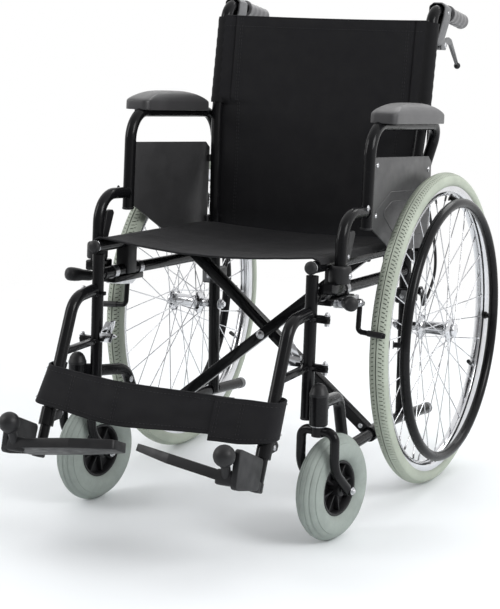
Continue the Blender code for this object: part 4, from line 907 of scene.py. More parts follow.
def build_brace_bolt():
    """The bolt that both brace members turn on, with its nut and the spacer between them."""
    half = BRACE_SIZE / 2

    def spot(y):
        return at(1, 0, y, BRACE_CENTRE_Z)

    front, back = BRACE_Y["b"] - half, BRACE_Y["a"] + half
    piece("brace_bolt", "brace_a", coated(
        "zinc",
        bolt_head(spot(front - 0.0002), (0, -1, 0), 0.0064, 0.0048, "dome"),
        bolt_head(spot(back + 0.0002), (0, 1, 0), 0.0064, 0.005),
        bar(spot(front - 0.001), spot(back + 0.001), 0.0048),
        bar(spot(BRACE_Y["b"] + half + 0.0006), spot(BRACE_Y["a"] - half - 0.0006), 0.0088, 28),
    ), "brace_pivot")


# Handles and attendant's brakes

def build_push_grip(side, name):
    """Moulded grip with finger notches beneath, a flange at its root and a rounded end."""
    start = handle_point(side, 0.144)
    length = (at(side, CANE_X, HANDLE_Y, HANDLE_Z) - start).length + 0.006
    profile = [(0, length), (0.006, length - 0.0002), (0.0105, length - 0.0014), (0.0136, length - 0.0045),
               (0.0148, length - 0.008)]
    profile += evenly(lambda t: (0.015 + 0.0004 * cos(2 * pi * 4 * t), length - 0.01 - (length - 0.018) * t),
                      44, 0, 1)
    profile += [(0.0168, 0.007), (0.0176, 0.0055), (0.0176, 0.001), (0.017, 0.0), (0, 0)]
    place = frame_on(start, handle_direction(), (1, 0, 0))
    grip = lathe(profile, place, 48)
    notches = [through_bar(place @ Vector((0, 0.0185, 0.02 + 0.0165 * i)), Vector((0.018, 0, 0)), 0.006, 24)
               for i in range(4)]
    sided(name, "hand_grip", "frame", coated("grip", carved(grip, *notches)), "push_grip", 50)


def lever_pivot(side):
    return at(side, CANE_X, *LEVER_PIVOT)


def housing_outline(inset, radius):
    """Outline of the lever housing, round the handle at its top and narrow at its foot."""
    half = [(0.009, -0.014), (0.0175, -0.007), (0.0175, 0.012), (0.009, 0.054), (0.0065, 0.067)]
    middle = Vector((0, 0.018))
    points = []
    for x, y in half + [(-x, y) for x, y in reversed(half)]:
        spot = Vector((x, y))
        points.append(tuple(spot - (spot - middle).normalized() * inset))
    return ring_outline(points, radius)


def build_lever_bracket(side, name):
    """Teardrop housing on the handle's root, hollow at the front, with two cheeks that hold the lever."""
    middle = handle_point(side, 0.108)
    place = frame_on(middle, handle_direction(), (1, 0, 0))

    def filling(inset, thickness, depth):
        return plate(housing_outline(inset, 0.004), thickness, place @ Matrix.Translation((0, 0, depth)), 0.0)

    shell = plate(housing_outline(0.0, 0.005), 0.0336, place, 0.0022, 4)
    dish, lining = filling(0.0026, 0.026, -0.008), filling(0.0026, 0.025, -0.007)
    inside = filling(0.0036, 0.026, -0.0085)
    hole = [pipe(cane_route(side), CANE_R + 0.0004, 32) for _ in range(2)]
    hub = lever_pivot(side)
    slot = slab(hub + Vector((0, 0.017, -0.002)), (0.0062, 0.058, 0.06), 0.0)
    # The shell is painted grey as a painted reflection on its black plastic. The lining of the hollow keeps the
    # plastic's own black.
    parts = [painted(carved(shell, dish, hole[0], slot), "grey"), painted(carved(lining, inside, hole[1]), "plastic")]
    outline = ring_outline([(-0.02, 0.012), (0.006, 0.011), (0.009, 0.0), (0.004, -0.0095),
                            (-0.021, -0.008)], 0.003)
    # The cheeks are black plastic too, painted grey as a painted reflection.
    parts += coated("grey", *(plate(outline, 0.0033, side_plane(hub + Vector((dx, 0, 0))), 0.0008)
                              for dx in (-0.0048, 0.0048)))
    out = Vector((side * 0.0064, 0, 0))
    parts += coated(
        "zinc",
        bolt_head(hub + out, (side, 0, 0), 0.0042, 0.0022, "screw"),
        bolt_head(hub - out, (-side, 0, 0), 0.0042, 0.0022),
        bolt_head(middle + Vector((side * 0.0166, 0.001, -0.004)), (side, 0, 0), 0.0034, 0.0018, "screw"),
        through_bar(hub, Vector((0.006, 0, 0)), 0.0022),
    )
    sided(name, "lever_bracket", "frame", parts, "lever_clamp")


def build_hand_lever(side, name):
    """Flat curved lever with a ball at its end."""
    hub = lever_pivot(side)
    blade = plate(ring_outline([
        (-0.007, -0.006), (-0.005, 0.008), (0.014, 0.012), (0.03, 0.015), (0.046, 0.01), (0.07, -0.016),
        (0.0905, -0.04), (0.086, -0.0435), (0.064, -0.023), (0.04, 0.0), (0.02, 0.002),
    ], 0.004, 10), 0.0052, side_plane(hub), 0.0014, 3)
    end = ball(hub + Vector((0, 0.09, -0.044)), 0.0066)
    # The blade is black plastic painted grey as a painted reflection. The ball keeps the plain black.
    sided(name, "hand_lever", "brake_hand_lever", [painted(blade, "grey"), painted(end, "plastic")],
          "brake_hand_lever")


def smooth_route(points):
    """A smooth line through a few points."""
    count = 7
    points = [2 * points[0] - points[1], *points, 2 * points[-1] - points[-2]]
    path = []
    for a, b, c, d in zip(points, points[1:], points[2:], points[3:]):
        for i in range(count):
            t = i / count
            path.append(0.5 * (2 * b + (c - a) * t + (2 * a - 5 * b + 4 * c - d) * t * t
                               + (3 * b - a - 3 * c + d) * t ** 3))
    return path + [points[-2]]


def build_cable(side, name):
    """Sheathed cable from the lever housing down behind the cane to the attendant brake, with both ferrules."""
    route = smooth_route([at(side, *spot) for spot in (
        (0.223, 0.076, 0.856), (0.2215, 0.073, 0.842), (0.2195, 0.07, 0.82), (0.22, 0.066, 0.78),
        (0.224, 0.0625, 0.74), (0.2262, 0.0605, 0.7), (0.225, 0.06, 0.64), (0.22, 0.062, 0.58),
        (0.226, 0.08, 0.52), (0.231, 0.098, 0.465), (0.233, 0.106, 0.42), (0.233, 0.1, 0.388),
        (0.231, 0.078, 0.356), (0.23, 0.059, 0.342))])
    parts = [painted(pipe(route, 0.003, 12), "plastic")]
    parts += coated("zinc", bar(route[0], route[3], 0.0036, 18), bar(route[-4], route[-1], 0.0036, 18))
    sided(name, "cable_sheath", "frame", parts, "brake_cable")


def build_brake_arm(side, name):
    """The arm in the attendant brake that the cable pulls."""
    hub = at(side, *PULLER_PIVOT)
    arm = plate(ring_outline([(-0.007, -0.006), (-0.007, 0.007), (0.006, 0.008), (0.024, -0.012),
                              (0.022, -0.034), (0.014, -0.034), (0.01, -0.014)], 0.003), 0.006,
                side_plane(hub), 0.001)
    pin = through_bar(hub, Vector((0.0036, 0, 0)), 0.0035)
    sided(name, "brake_arm", "wheel_brake", [painted(arm, "paint"), painted(pin, "zinc")], "wheel_brake")


# Rear wheels

def build_tyre(side, name):
    """Pale solid tyre with rows of slanted notches on each side of the groove round its middle, the notches and the
    groove painted dark as painted shade.
    """
    half_profile = [
        (0.2788, 0.0118), (0.28, 0.015), (0.285, 0.0169), (0.2915, 0.017), (0.2958, 0.016), (0.299, 0.014),
        (0.3016, 0.011), (0.3035, 0.0076), (0.3045, 0.004), (0.305, 0.0014), (0.3036, 0.0008),
    ]
    steps = sizes().notches * 3
    obj = painted(lathe(half_profile + mirrored(half_profile), Matrix(), steps), "tyre")
    # The second slot holds the painted shade of the notches and the middle groove.
    obj.data.materials.append(FINISHES["groove"]())

    def on_tread(face):
        return sqrt(face.center.x ** 2 + face.center.y ** 2) > 0.295

    def in_notch(face):
        step = int(round(atan2(face.center.y, face.center.x) / (2 * pi) * steps - 0.5)) % 3
        height = abs(face.center.z)
        return on_tread(face) and ((step == 0 and 0.0045 < height < 0.011)
                                   or (step == 1 and 0.0115 < height < 0.015))

    # The middle groove takes the painted shade.
    for face in obj.data.polygons:
        face.material_index = 1 if abs(face.center.z) < 0.0007 and on_tread(face) else 0
    edit_some(obj, "FACE", in_notch)
    bpy.ops.mesh.inset(thickness=0.0004, depth=0.0)
    bpy.ops.mesh.extrude_region_move()
    bpy.ops.transform.shrink_fatten(value=-0.0016)
    # The sunken notches take the painted shade.
    obj.active_material_index = 1
    bpy.ops.object.material_slot_assign()
    bpy.ops.object.mode_set(mode="OBJECT")
    for vertex in obj.data.vertices:
        slant = max(0.0, min(1.0, (abs(vertex.co.z) - 0.002) / 0.012)) * 0.014
        vertex.co = Matrix.Rotation(slant, 3, "Z") @ vertex.co
    edit_all(obj, (bpy.ops.mesh.normals_make_consistent, {"inside": False}))
    placed(obj, wheel_place(side, WHEEL_X))
    sided(name, "tyre_tread", "wheel", [obj], "tyre", 50)


def build_rim(side, name):
    """Chrome rim with turned-in side walls and a rounded well, and its valve."""
    wall = [(0.2794, 0.0126), (0.2798, 0.0132), (0.2794, RIM_HALF), (RIM_R, RIM_HALF), (0.27, 0.0128),
            (0.2662, 0.0108), (0.262, 0.007), (0.26, 0.003)]
    well = [(0.276, 0.0118), (0.272, 0.006)]
    profile = [*wall, (0.2597, 0.0), *mirrored(wall), (0.276, -0.0118), (0.272, -0.006), *reversed(well)]
    shell = painted(lathe(profile, wheel_place(side, WHEEL_X), 144), "chrome")
    turn = radians(118)
    inward = Vector((0, -sin(turn), -cos(turn)))
    stem = at(side, WHEEL_X, 0, AXLE_Z) - inward * 0.262
    valve = [painted(bar(stem, stem + inward * 0.02, 0.003), "zinc"),
             painted(bar(stem + inward * 0.018, stem + inward * 0.034, 0.0041), "plastic")]
    sided(name, "rim_band", "wheel", [shell, *valve], "rim")


def build_hub(side, name):
    """Chrome hub with its flanges, and crossed spokes with their nipples."""
    near, far = HUB_IN, HUB_OUT
    profile = [
        (0.0064, far), (0.012, far), (0.015, far - 0.001), (0.0165, far - 0.0032), (0.0235, far - 0.004),
        (0.0243, far - 0.0048), (0.0243, far - 0.0062), (0.0235, far - 0.007), (0.017, far - 0.0085),
        (0.0135, far - 0.012), (0.0128, far - 0.02), (0.0128, near + 0.02), (0.0135, near + 0.0125),
        (0.017, near + 0.0081), (0.0235, near + 0.0065), (0.0243, near + 0.0057), (0.0243, near + 0.0043),
        (0.0235, near + 0.0035), (0.0165, near + 0.002), (0.015, near + 0.0004), (0.012, near), (0.0064, near),
    ]
    parts = [lathe(profile, wheel_place(side), 48)]
    count = sizes().spokes
    radius = sizes().spoke_thickness / 2
    for index in range(count):
        outer, sign = index % 2, 1 if index // 2 % 2 else -1
        end_angle = 2 * pi * (index + 0.5) / count
        hub_angle = end_angle + SPOKE_LEAD * sign
        start = at(side, (far - 0.0055 if outer else near + 0.005) + 0.0016 * sign,
                   FLANGE_HOLES_R * sin(hub_angle), AXLE_Z + FLANGE_HOLES_R * cos(hub_angle))
        end = at(side, WHEEL_X + (-0.001 if outer else 0.004),
                 NIPPLE_R * sin(end_angle), AXLE_Z + NIPPLE_R * cos(end_angle))
        head = Vector((side * 0.0022 * sign, 0, 0))
        parts += [pipe([start, end], radius, 8), pipe([end, end + (start - end).normalized() * 0.011], 0.0021, 8),
                  pipe([start - head, start + head * 0.4], radius * 1.25, 8)]
    sided(name, "hub_spokes", "wheel", coated("chrome", *parts), "hub", 50)


def build_push_rim(side, name):
    """Painted push rim on four bracketed stand-offs."""
    choose_none()
    bpy.ops.mesh.primitive_torus_add(major_radius=HANDRIM_R, minor_radius=HANDRIM_TUBE, major_segments=144,
                                     minor_segments=22)
    parts = [painted(placed(bpy.context.object, wheel_place(side, HANDRIM_X)), "paint")]
    centre = at(side, 0, 0, AXLE_Z)
    for quarter in range(4):
        angle = pi / 2 * quarter + radians(4)
        outward = Vector((0, sin(angle), cos(angle)))
        inner = centre + Vector((side * (WHEEL_X + RIM_HALF), 0, 0)) + outward * (RIM_R - 0.019)
        outer = centre + Vector((side * HANDRIM_X, 0, 0)) + outward * (HANDRIM_R + 0.002)
        parts.append(painted(bar(inner, outer, 0.005, 24), "paint"))
        parts.append(painted(lathe([(0, 0.0022), (0.007, 0.0018), (0.0078, 0.0), (0, 0.0)],
                                   frame_on(inner, outer - inner, outward), 28), "plastic"))
    sided(name, "push_rim", "wheel", parts, "handrim")


def build_axle(side, name):
    """Axle bolt with its cap, collar, nut and washer."""
    profile = [
        (0, 0.3206), (0.009, 0.3202), (0.0122, 0.3188), (0.0136, 0.3166), (0.0138, 0.3129), (0.0062, 0.3129),
        (0.0062, 0.2418), (0.0088, 0.2418), (0.009, 0.241), (0.009, 0.2244), (0.0088, 0.2236), (0.0062, 0.2236),
        (0.0062, 0.199), (0.005, 0.1925), (0.005, 0.1885), (0.0045, 0.188), (0, 0.188),
    ]
    bolt = painted(lathe(profile, wheel_place(side), 36), "chrome")
    nut = plate(hexagon(0.0095), 0.0064, wheel_place(side, 0.1958), 0.0006)
    washer = lathe([(0, 0.0006), (0.0115, 0.0006), (0.0115, -0.0006), (0, -0.0006)], wheel_place(side, 0.1997), 32)
    sided(name, "axle_bolt", "frame", [bolt, *coated("zinc", nut, washer)], "axle")


# Casters

def caster_vectors(side, name):
    turn = CASTER_TURN[name]
    back = Vector((sin(turn), cos(turn), 0))
    across = Vector((cos(turn), -sin(turn), 0))
    return back, across, at(side, STEM_X, STEM_Y, CASTER_R) + back * CASTER_TRAIL


def build_fork(side, name):
    """Bent-tube fork with its crown boss, stem, axle bolt and nuts."""
    back, across, centre = caster_vectors(side, name)
    top = at(side, STEM_X, STEM_Y, HOUSING_Z[0] - 0.0115)
    up = Vector((0, 0, 1))
    legs = []
    for sign in (-1, 1):
        reach = across * sign * FORK_HALF
        legs.append([centre + reach - up * 0.004 + back * 0.003,
                     top + reach - up * 0.066 - back * 0.001, top + reach * 0.98 + up * 0.001])
    route = rounded([*legs[0], *reversed(legs[1])], [0.05, 0.016, 0.016, 0.05], 8)
    crown = [(0, 0.011), (0.012, 0.011), (0.013, 0.01), (0.013, 0.002), (0.012, -0.0088),
             (0.006, -0.0092), (0, -0.0092)]
    bearing = [(0, 0.0114), (0.0142, 0.0114), (0.015, 0.0108), (0.015, 0.0098), (0.014, 0.009), (0, 0.009)]
    parts = coated("paint", pipe(route, 0.0085), lathe(crown, Matrix.Translation(top), 36))
    parts += coated("zinc", bar(top, top + up * 0.05, 0.006, 28), lathe(bearing, Matrix.Translation(top), 36))
    for sign in (-1, 1):
        outward = across * sign
        pad, inner = centre + outward * FORK_HALF, centre + outward * 0.0232
        parts.append(bolt_head(centre + outward * (FORK_HALF + 0.0082), outward, 0.0052, 0.0034,
                               "dome" if sign == side else "hex"))
        parts.append(painted(bar(pad - outward * 0.0088, pad + outward * 0.0086, 0.0088, 28), "paint"))
        parts.append(painted(bar(inner, inner + outward * 0.004, 0.0062, 24), "zinc"))
    parts.append(painted(through_bar(centre, across * FORK_HALF, 0.0042), "zinc"))
    sided(name, "fork_tube", "caster_fork", parts, "caster_fork")


def build_caster(side, name):
    """Grey ribbed caster tyre on a black spoked centre."""
    _, across, centre = caster_vectors(side, name)
    place = frame_on(centre, across, (0, 0, 1))
    half_profile = [(0.05, 0.015), (0.052, 0.0172), (0.056, 0.0205), (0.062, 0.0225), (0.07, 0.0232),
                    (0.078, 0.0226), (0.0815, 0.0212), (0.0822, 0.0196), (0.085, 0.0186), (0.088, 0.016),
                    (0.09, 0.0132), (0.0893, 0.012), (0.0915, 0.0108), (0.094, 0.0078), (0.095, 0.0058),
                    (0.0942, 0.0046), (0.0957, 0.0036), (0.096, 0.0014)]
    tyre = painted(lathe(half_profile + mirrored(half_profile), place, 96), "caster")
    sided(name, "caster_tread", "caster_wheel", [tyre], "caster_tyre", 28)
    inside = [(0.049, -0.0165), (0.0462, -0.016), (0.0444, -0.013), (0.0436, -0.002)]
    bore = [(0.005, 0.0225), (0.011, 0.0225), (0.0132, 0.0212), (0.0142, 0.012)]
    parts = [
        lathe([(0.0502, 0.015), (0.0502, -0.015), *inside, *mirrored(inside)], place, 64),
        lathe([*bore, (0.015, 0.0), *mirrored(bore)], place, 40),
        lathe([(0.014, 0.0016), (0.0445, 0.0016), (0.0445, -0.0016), (0.014, -0.0016)], place, 48),
    ]
    for i in range(8):
        turn = place @ Matrix.Rotation(2 * pi * i / 8 + radians(11), 4, "Z")
        parts.append(slab(turn @ Vector((0.0285, 0, 0)), (0.0325, 0.0034, 0.023), 0.0012, turn.to_3x3()))
    sided(name, "caster_centre", "caster_wheel", coated("plastic", *parts), "caster_wheel")


# Armrests

def arm_loop(side):
    y, z = ARM_LEG
    top_x, top_y = ARM_TOP_REAR
    return rounded([
        at(side, ARM_X, leg_y(0.537, y, z), 0.537), at(side, ARM_X, y, z),
        at(side, top_x, top_y, z - (top_y - y) * tan(ARM_LEAN)), at(side, ARM_REAR_X, *ARM_REAR),
        at(side, ARM_REAR_X, leg_y(ARM_REAR_FOOT_Z, *ARM_REAR), ARM_REAR_FOOT_Z),
    ], [0.055, 0.036, 0.06])


def build_arm_frame(side, name):
    """The arm's bent loop with the step that is welded to its front leg."""
    y, z = ARM_STEP
    join = leg_y(z, *ARM_LEG) + 0.002
    step = rounded([
        at(side, ARM_X, join, z - (join - y) * tan(ARM_LEAN)), at(side, ARM_X, y, z),
        at(side, ARM_X, leg_y(ARM_FOOT_Z, y, z), ARM_FOOT_Z),
    ], 0.052)
    loop = arm_loop(side)
    foot, end_r = loop[0], ARM_TUBE + 0.0003
    parts = coated("paint", pipe(loop, ARM_TUBE), pipe(step, ARM_TUBE - 0.0004),
                   bead(step[0] - Vector((0, 0.0118, 0)), (0, 1, -0.07), end_r, 0.0014))
    parts.append(bolt_head(at(side, ARM_X + 0.0106, -0.3105, 0.5775), (side, 0, 0), 0.004, 0.0026, "screw"))
    parts.append(painted(bar(foot - Vector((0, 0.0001, 0.0015)), foot + Vector((0, 0, 0.004)), end_r, 28), "plastic"))
    sided(name, "arm_frame", "arm", parts, "arm_tube")


def build_clothes_guard(side, name):
    """Side panel with two raised lines pressed in it, two tabs at the back and three chrome screws."""
    outline = ring_outline([
        (-0.28, 0.664), (0.0141, 0.6395), (0.0303, 0.627), (0.0202, 0.46), (-0.164, 0.48),
        (-0.283, 0.544),
    ], 0.003)
    panel = plate([(AXLE_Y + y, z) for y, z in outline], 0.004, side_plane((side * PANEL_X, 0, 0)), 0.0011, 3)
    parts = [painted(panel, "guard")]
    for line in (
        [(-0.25, 0.562), (-0.179, 0.5905), (-0.132, 0.587), (-0.0814, 0.5827), (0.004, 0.5755)],
        [(-0.07, 0.565), (-0.172, 0.5722), (-0.2165, 0.556), (-0.19, 0.536), (-0.15, 0.506),
         (-0.02, 0.492)],
    ):
        route = rounded([at(side, PANEL_X + 0.0019, y, z) for y, z in line], 0.008)
        parts.append(painted(pipe(route, 0.0013, 12), "guard"))
    for y, z in ((-0.2435, 0.6465), (-0.2455, 0.5545), (0.014, 0.614)):
        parts.append(bolt_head(at(side, PANEL_X + 0.002, y, z), (side, 0, 0), 0.0034, 0.002, "screw", "chrome"))
    for z in (0.605, 0.48):
        tab = at(side, (ARM_REAR_X + PANEL_X) / 2 + 0.004, leg_y(z, *ARM_REAR) - 0.012, z)
        parts.append(painted(slab(tab, (0.007, 0.018, 0.014)), "guard"))
    sided(name, "clothes_guard", "arm", parts, "arm_panel")


def build_arm_cushion(side, name):
    """Foamed arm pad: straight-sided at its base, rounded over to a crowned top."""
    y, z = ARM_LEG
    middle = -0.122
    place = leant(side, PAD_X, middle, z - (middle - y) * tan(ARM_LEAN) + 0.0025, ARM_LEAN)
    half, across, base_height = 0.1295, 0.0265, 0.0165
    choose_none()
    bpy.ops.mesh.primitive_cube_add(size=1.0)
    obj = bpy.context.object
    obj.scale = (across * 2, half * 2, base_height)
    obj.location = (0, 0, base_height / 2)
    placed(obj)
    edit_some(obj, "EDGE", lambda edge: abs(obj.data.vertices[edge.vertices[0]].co.z
                                            - obj.data.vertices[edge.vertices[1]].co.z) > 0.01)
    bpy.ops.mesh.bevel(offset=0.013, segments=7, affect="EDGES")
    edit_some(obj, "FACE", lambda face: face.normal.z > 0.9)
    # Each step up: how high above the base, and how far in from its ends and its sides.
    levels = [(0.0012, 0.0005, 0.0003), (0.0045, 0.0045, 0.0012), (0.0085, 0.016, 0.0028), (0.0125, 0.029, 0.0055),
              (0.016, 0.044, 0.0085), (0.019, 0.062, 0.0125), (0.021, 0.085, 0.018), (0.0216, 0.105, 0.0228)]
    width, length, low = across, half, 0.0
    for high, end, edge in levels:
        bpy.ops.mesh.extrude_region_move(TRANSFORM_OT_translate={"value": (0, 0, high - low)})
        bpy.ops.transform.resize(value=((across - edge) / width, (half - end) / length, 1.0),
                                 center_override=(0, 0, base_height + high))
        width, length, low = across - edge, half - end, high
    bpy.ops.object.mode_set(mode="OBJECT")
    softened(obj, 0.0012, 3)
    with_modifier(obj, "SUBSURF", levels=1, render_levels=1)
    for vertex in obj.data.vertices:
        if vertex.co.z > 0.01:
            vertex.co.z += 0.0003 * ripple(vertex.co.x * 60, vertex.co.y * 25)
    placed(obj, place)
    base = plate(ring_outline([(-0.017, -0.11), (0.017, -0.11), (0.017, 0.11), (-0.017, 0.11)], 0.008), 0.004,
                 place @ Matrix.Translation((0, 0, -0.0014)), 0.0003)
    pad = sided(name, "arm_cushion", "arm", [painted(obj, "pad"), painted(base, "plastic")], "arm_pad", 50)


def build_arm_release(side, name):
    """The latch that lets the arm go, with its pivot."""
    pin = at(side, ARM_X, leg_y(0.5, *ARM_STEP) + 0.02, 0.5)
    lever = plate(ring_outline([(-0.006, -0.008), (0.008, -0.008), (0.03, 0.037), (0.026, 0.043),
                                (0.0045, 0.043), (-0.0083, 0.006)], 0.003), 0.011, side_plane(pin), 0.0018, 3)
    pivot = bolt_head(pin + Vector((side * 0.0054, 0, 0)), (side, 0, 0), 0.003, 0.0018, "screw")
    sided(name, "arm_release", "arm_latch", [painted(lever, "plastic"), pivot], "arm_latch")


# Footrests

def build_hanger(side, name):
    """Swing-away hanger tube with its saddles, hinge ears and the clamp at its foot."""
    bend, down = hanger_bend(side), rake_down()
    foot = bend + down * CLAMP_AT
    arm = rounded([at(side, FRONT_X, post_y(HANGER_TOP_Z) - 0.015, HANGER_TOP_Z), bend, foot], 0.044)
    low = LUG_Z[1]
    reach = bend.y - AXLE_Y - (bend.z - low) * tan(RAKE)
    rear = post_y(low) - 0.013
    parts = [pipe(arm, TUBE_R), slab(at(side, (FRONT_X + HANGER_X) / 2, (reach + rear) / 2, low),
                                     (0.013, rear - reach, 0.011), 0.0015)]

    def arc(radius, first, turn):
        return evenly(lambda a: (radius * cos(radians(a)), radius * sin(radians(a))), 12, first, turn)

    saddle = [*arc(0.016, 200, 145), (PIN_DX + 0.004, PIN_DY - 0.0065), (PIN_DX + 0.0065, PIN_DY),
              (PIN_DX + 0.004, PIN_DY + 0.0058), (PIN_DX - 0.004, PIN_DY + 0.0058),
              *arc(TUBE_R + 0.0009, 345, -145)]
    for z in LUG_Z:
        place = lug_place(side, z)
        parts.append(plate([(side * x, y) for x, y in saddle], 0.0048, place))
        parts.append(slab(place @ Vector((-side * 0.0165, -0.0075, 0.0035)), (0.008, 0.009, 0.007), 0.001,
                          Matrix.Rotation(-FRONT_LEAN, 3, "X")))
        parts.append(slab(place @ Vector((0, -0.016, 0.0)), (0.016, 0.008, 0.006)))
    clamp = [(0.0097, 0.016), (0.0128, 0.016), (0.0135, 0.0152)]
    parts.append(lathe(clamp + mirrored(clamp), frame_on(foot, -down, (1, 0, 0)), 40))
    parts = coated("paint", *parts)
    boss = foot + Vector((0, 0.025, -0.003))
    parts.append(painted(slab(boss, (0.013, 0.03, 0.018), 0.004, None, 3), "plastic"))
    parts.append(bolt_head(boss + Vector((0, 0.015, 0)), (0, 1, 0), 0.0046, 0.004))
    parts.append(bolt_head(boss + Vector((side * 0.0064, 0, 0)), (side, 0, 0), 0.0036, 0.0022, "screw"))
    sided(name, "hanger_tube", "hanger", parts, "hanger")


def build_hanger_release(side, name):
    """The latch that lets the hanger swing: a lever with a blade and a foot, on its pivot."""
    pin = at(side, FRONT_X - 0.02, post_y(LUG_Z[1]), LUG_Z[1] + 0.012)
    place = Matrix.Translation(pin) @ Matrix(((side, 0, 0, 0), (0, 0, -side, 0), (0, 1, 0, 0), (0, 0, 0, 1)))
    sheets = [
        ([(0.003, -0.0045), (-0.019, -0.0045), (-0.019, -0.0015), (-0.008, 0.002), (-0.0135, 0.012),
          (-0.0165, 0.027), (-0.0135, 0.028), (-0.0095, 0.013), (-0.003, 0.0045), (0.003, 0.0045)],
         0.0011, 0.015, 0.0, 0.0005),
        ([(0.008, 0.0035), (-0.0042, 0.0265), (-0.0158, 0.0255), (-0.0158, 0.005)], 0.0015, 0.0016, 0.0066, 0.0004),
        ([(0.008, 0.0045), (-0.0224, 0.0059), (-0.0154, -0.0125), (0.008, -0.0125)], 0.0015, 0.0016, 0.0084, 0.0004),
    ]
    lever = joined([plate(ring_outline(points, radius), thickness, place @ Matrix.Translation((0, 0, side * out)), edge)
                    for points, radius, thickness, out, edge in sheets])
    pivot = through_bar(pin, Vector((0, 0.008, 0)), 0.0021)
    sided(name, "hanger_release", "hanger_latch", [painted(lever, "chrome"), painted(pivot, "zinc")],
          "hanger_latch")


def plate_hinge(side):
    return hanger_bend(side) + rake_down() * HINGE_AT


def build_foot_stem(side, name):
    """The tube that slides in the hanger, with the footplate's hinge at its foot."""
    down, forward = rake_down(), rake_forward()
    hinge = plate_hinge(side)
    stem = painted(pipe([hanger_bend(side) + down * 0.1, hinge + down * 0.006], 0.0093), "paint")
    heel = painted(slab(hinge + forward * 0.003, (0.017, 0.023, 0.019), 0.003,
                        Matrix.Rotation(-PLATE_RISE, 3, "X"), 3), "plastic")
    pin = painted(bar(hinge, hinge + forward * 0.048, 0.004, 24), "zinc")
    nut = bolt_head(hinge - forward * 0.0085, -forward, 0.0046, 0.0036)
    sided(name, "foot_stem", "foot_tube", [stem, heel, pin, nut], "foot_tube")


def build_foot_rest(side, name):
    """Moulded footplate with a raised rim and grip ribs, its side guard, and the lifting ball."""
    forward = rake_forward()
    up = Vector((0, forward.z, -forward.y))
    inboard = Vector((-side * cos(PLATE_TILT), 0, 0)) + up * sin(PLATE_TILT)
    normal = Vector((side * sin(PLATE_TILT), 0, 0)) + up * cos(PLATE_TILT)
    start = plate_hinge(side) + forward * PLATE_START
    place = Matrix.Translation(start) @ Matrix((inboard, forward, normal)).transposed().to_4x4()
    outer = ring_outline([(-0.006, 0.0), (0.12, 0.0), (0.196, 0.02), (0.196, 0.066), (0.12, 0.088),
                          (-0.006, 0.088)], 0.008, 12)
    inner = ring_outline([(0.012, 0.006), (0.118, 0.006), (0.19, 0.025), (0.19, 0.061), (0.118, 0.082),
                          (0.012, 0.082)], 0.005, 12)
    tray = plate(outer, 0.017, place, 0.0016, 3)
    pocket = plate(inner, 0.017, place @ Matrix.Translation((0, 0, 0.005)), 0.0)
    tip = slab(place @ Vector((0.17, 0.044, -0.0135)), (0.15, 0.1, 0.016), 0.0,
               place.to_3x3() @ Matrix.Rotation(radians(-3.4), 3, "Y"))
    parts = [carved(tray, pocket, tip)]
    for i in range(13):
        u = 0.022 + 0.0125 * i
        margin = max(0.0, (u - 0.118) / 0.072) * 0.019
        parts.append(pipe([place @ Vector((u, v, -0.003)) for v in (0.01 + margin, 0.078 - margin)], 0.0014, 10))
    side_up = Matrix((forward, up, forward.cross(up))).transposed().to_4x4()
    rise = [(0.0, -0.007), (0.0, 0.046), (0.095, 0.05), (0.086, -0.016), (0.07, -0.016)]
    parts.append(plate(ring_outline(rise, 0.008), 0.011,
                       Matrix.Translation(Vector((side * GUARD_X, start.y, start.z))) @ side_up, 0.0018, 3))
    parts.append(slab(start + forward * 0.0793 + up * 0.0013 - Vector((side * 0.0083, 0, 0)), (0.0396, 0.0164, 0.0256),
                      0.004, Matrix.Rotation(-PLATE_RISE, 3, "X"), 3))
    knob = at(side, 0.2066, -0.7553, 0.228)
    neck = start + forward * 0.082 + up * 0.004 - Vector((side * 0.01, 0, 0))
    parts += [pipe([neck, knob], 0.008, 24), ball(knob, 0.0185, 40),
              bead(knob + (neck - knob).normalized() * 0.017, knob - neck, 0.0082, 0.0014)]
    sided(name, "foot_rest", "footplate", coated("plastic", *parts), "footplate")


# Parking brakes

def build_brake_bracket(side, name):
    """The parking brake's base and side plate, with two straps round the upper rail."""
    y = -0.3575
    base = slab(at(side, 0.2195, y, rail_z(y) - 0.015), (0.029, 0.104, 0.011), 0.0015,
                Matrix.Rotation(rail_slope(), 3, "X"))
    rail = bar(*(at(side, rail_x(y), y, rail_z(y)) for y in (-0.45, -0.25)), TUBE_R + 0.0003, 32)
    outline = ring_outline([(-0.409, 0.424), (-0.286, 0.416), (-0.286, 0.402), (-0.302, 0.394),
                            (-0.34, 0.399), (-0.392, 0.409)], 0.005)
    side_plate = plate([(AXLE_Y + a, b) for a, b in outline], 0.0032, side_plane((side * BRAKE_PLATE_X, 0, 0)), 0.0005)
    parts = [painted(carved(base, rail), "paint"), painted(side_plate, "zinc")]
    for y, z in ((-0.356, 0.409), (-0.33, 0.4075)):
        parts.append(bolt_head(at(side, BRAKE_PLATE_X + 0.0016, y, z), (side, 0, 0), 0.0042, 0.0032))
    inner, outer = TUBE_R + 0.0002, TUBE_R + 0.0018
    for y in (-0.402, -0.313):
        parts.append(painted(lathe([(inner, 0.007), (outer, 0.007), (outer, -0.007), (inner, -0.007)],
                                   frame_on(at(side, rail_x(y), y, rail_z(y)), (0, 1, tan(rail_slope())), (1, 0, 0)),
                                   36), "zinc"))
    sided(name, "brake_bracket", "frame", parts, "parking_brake_plate")


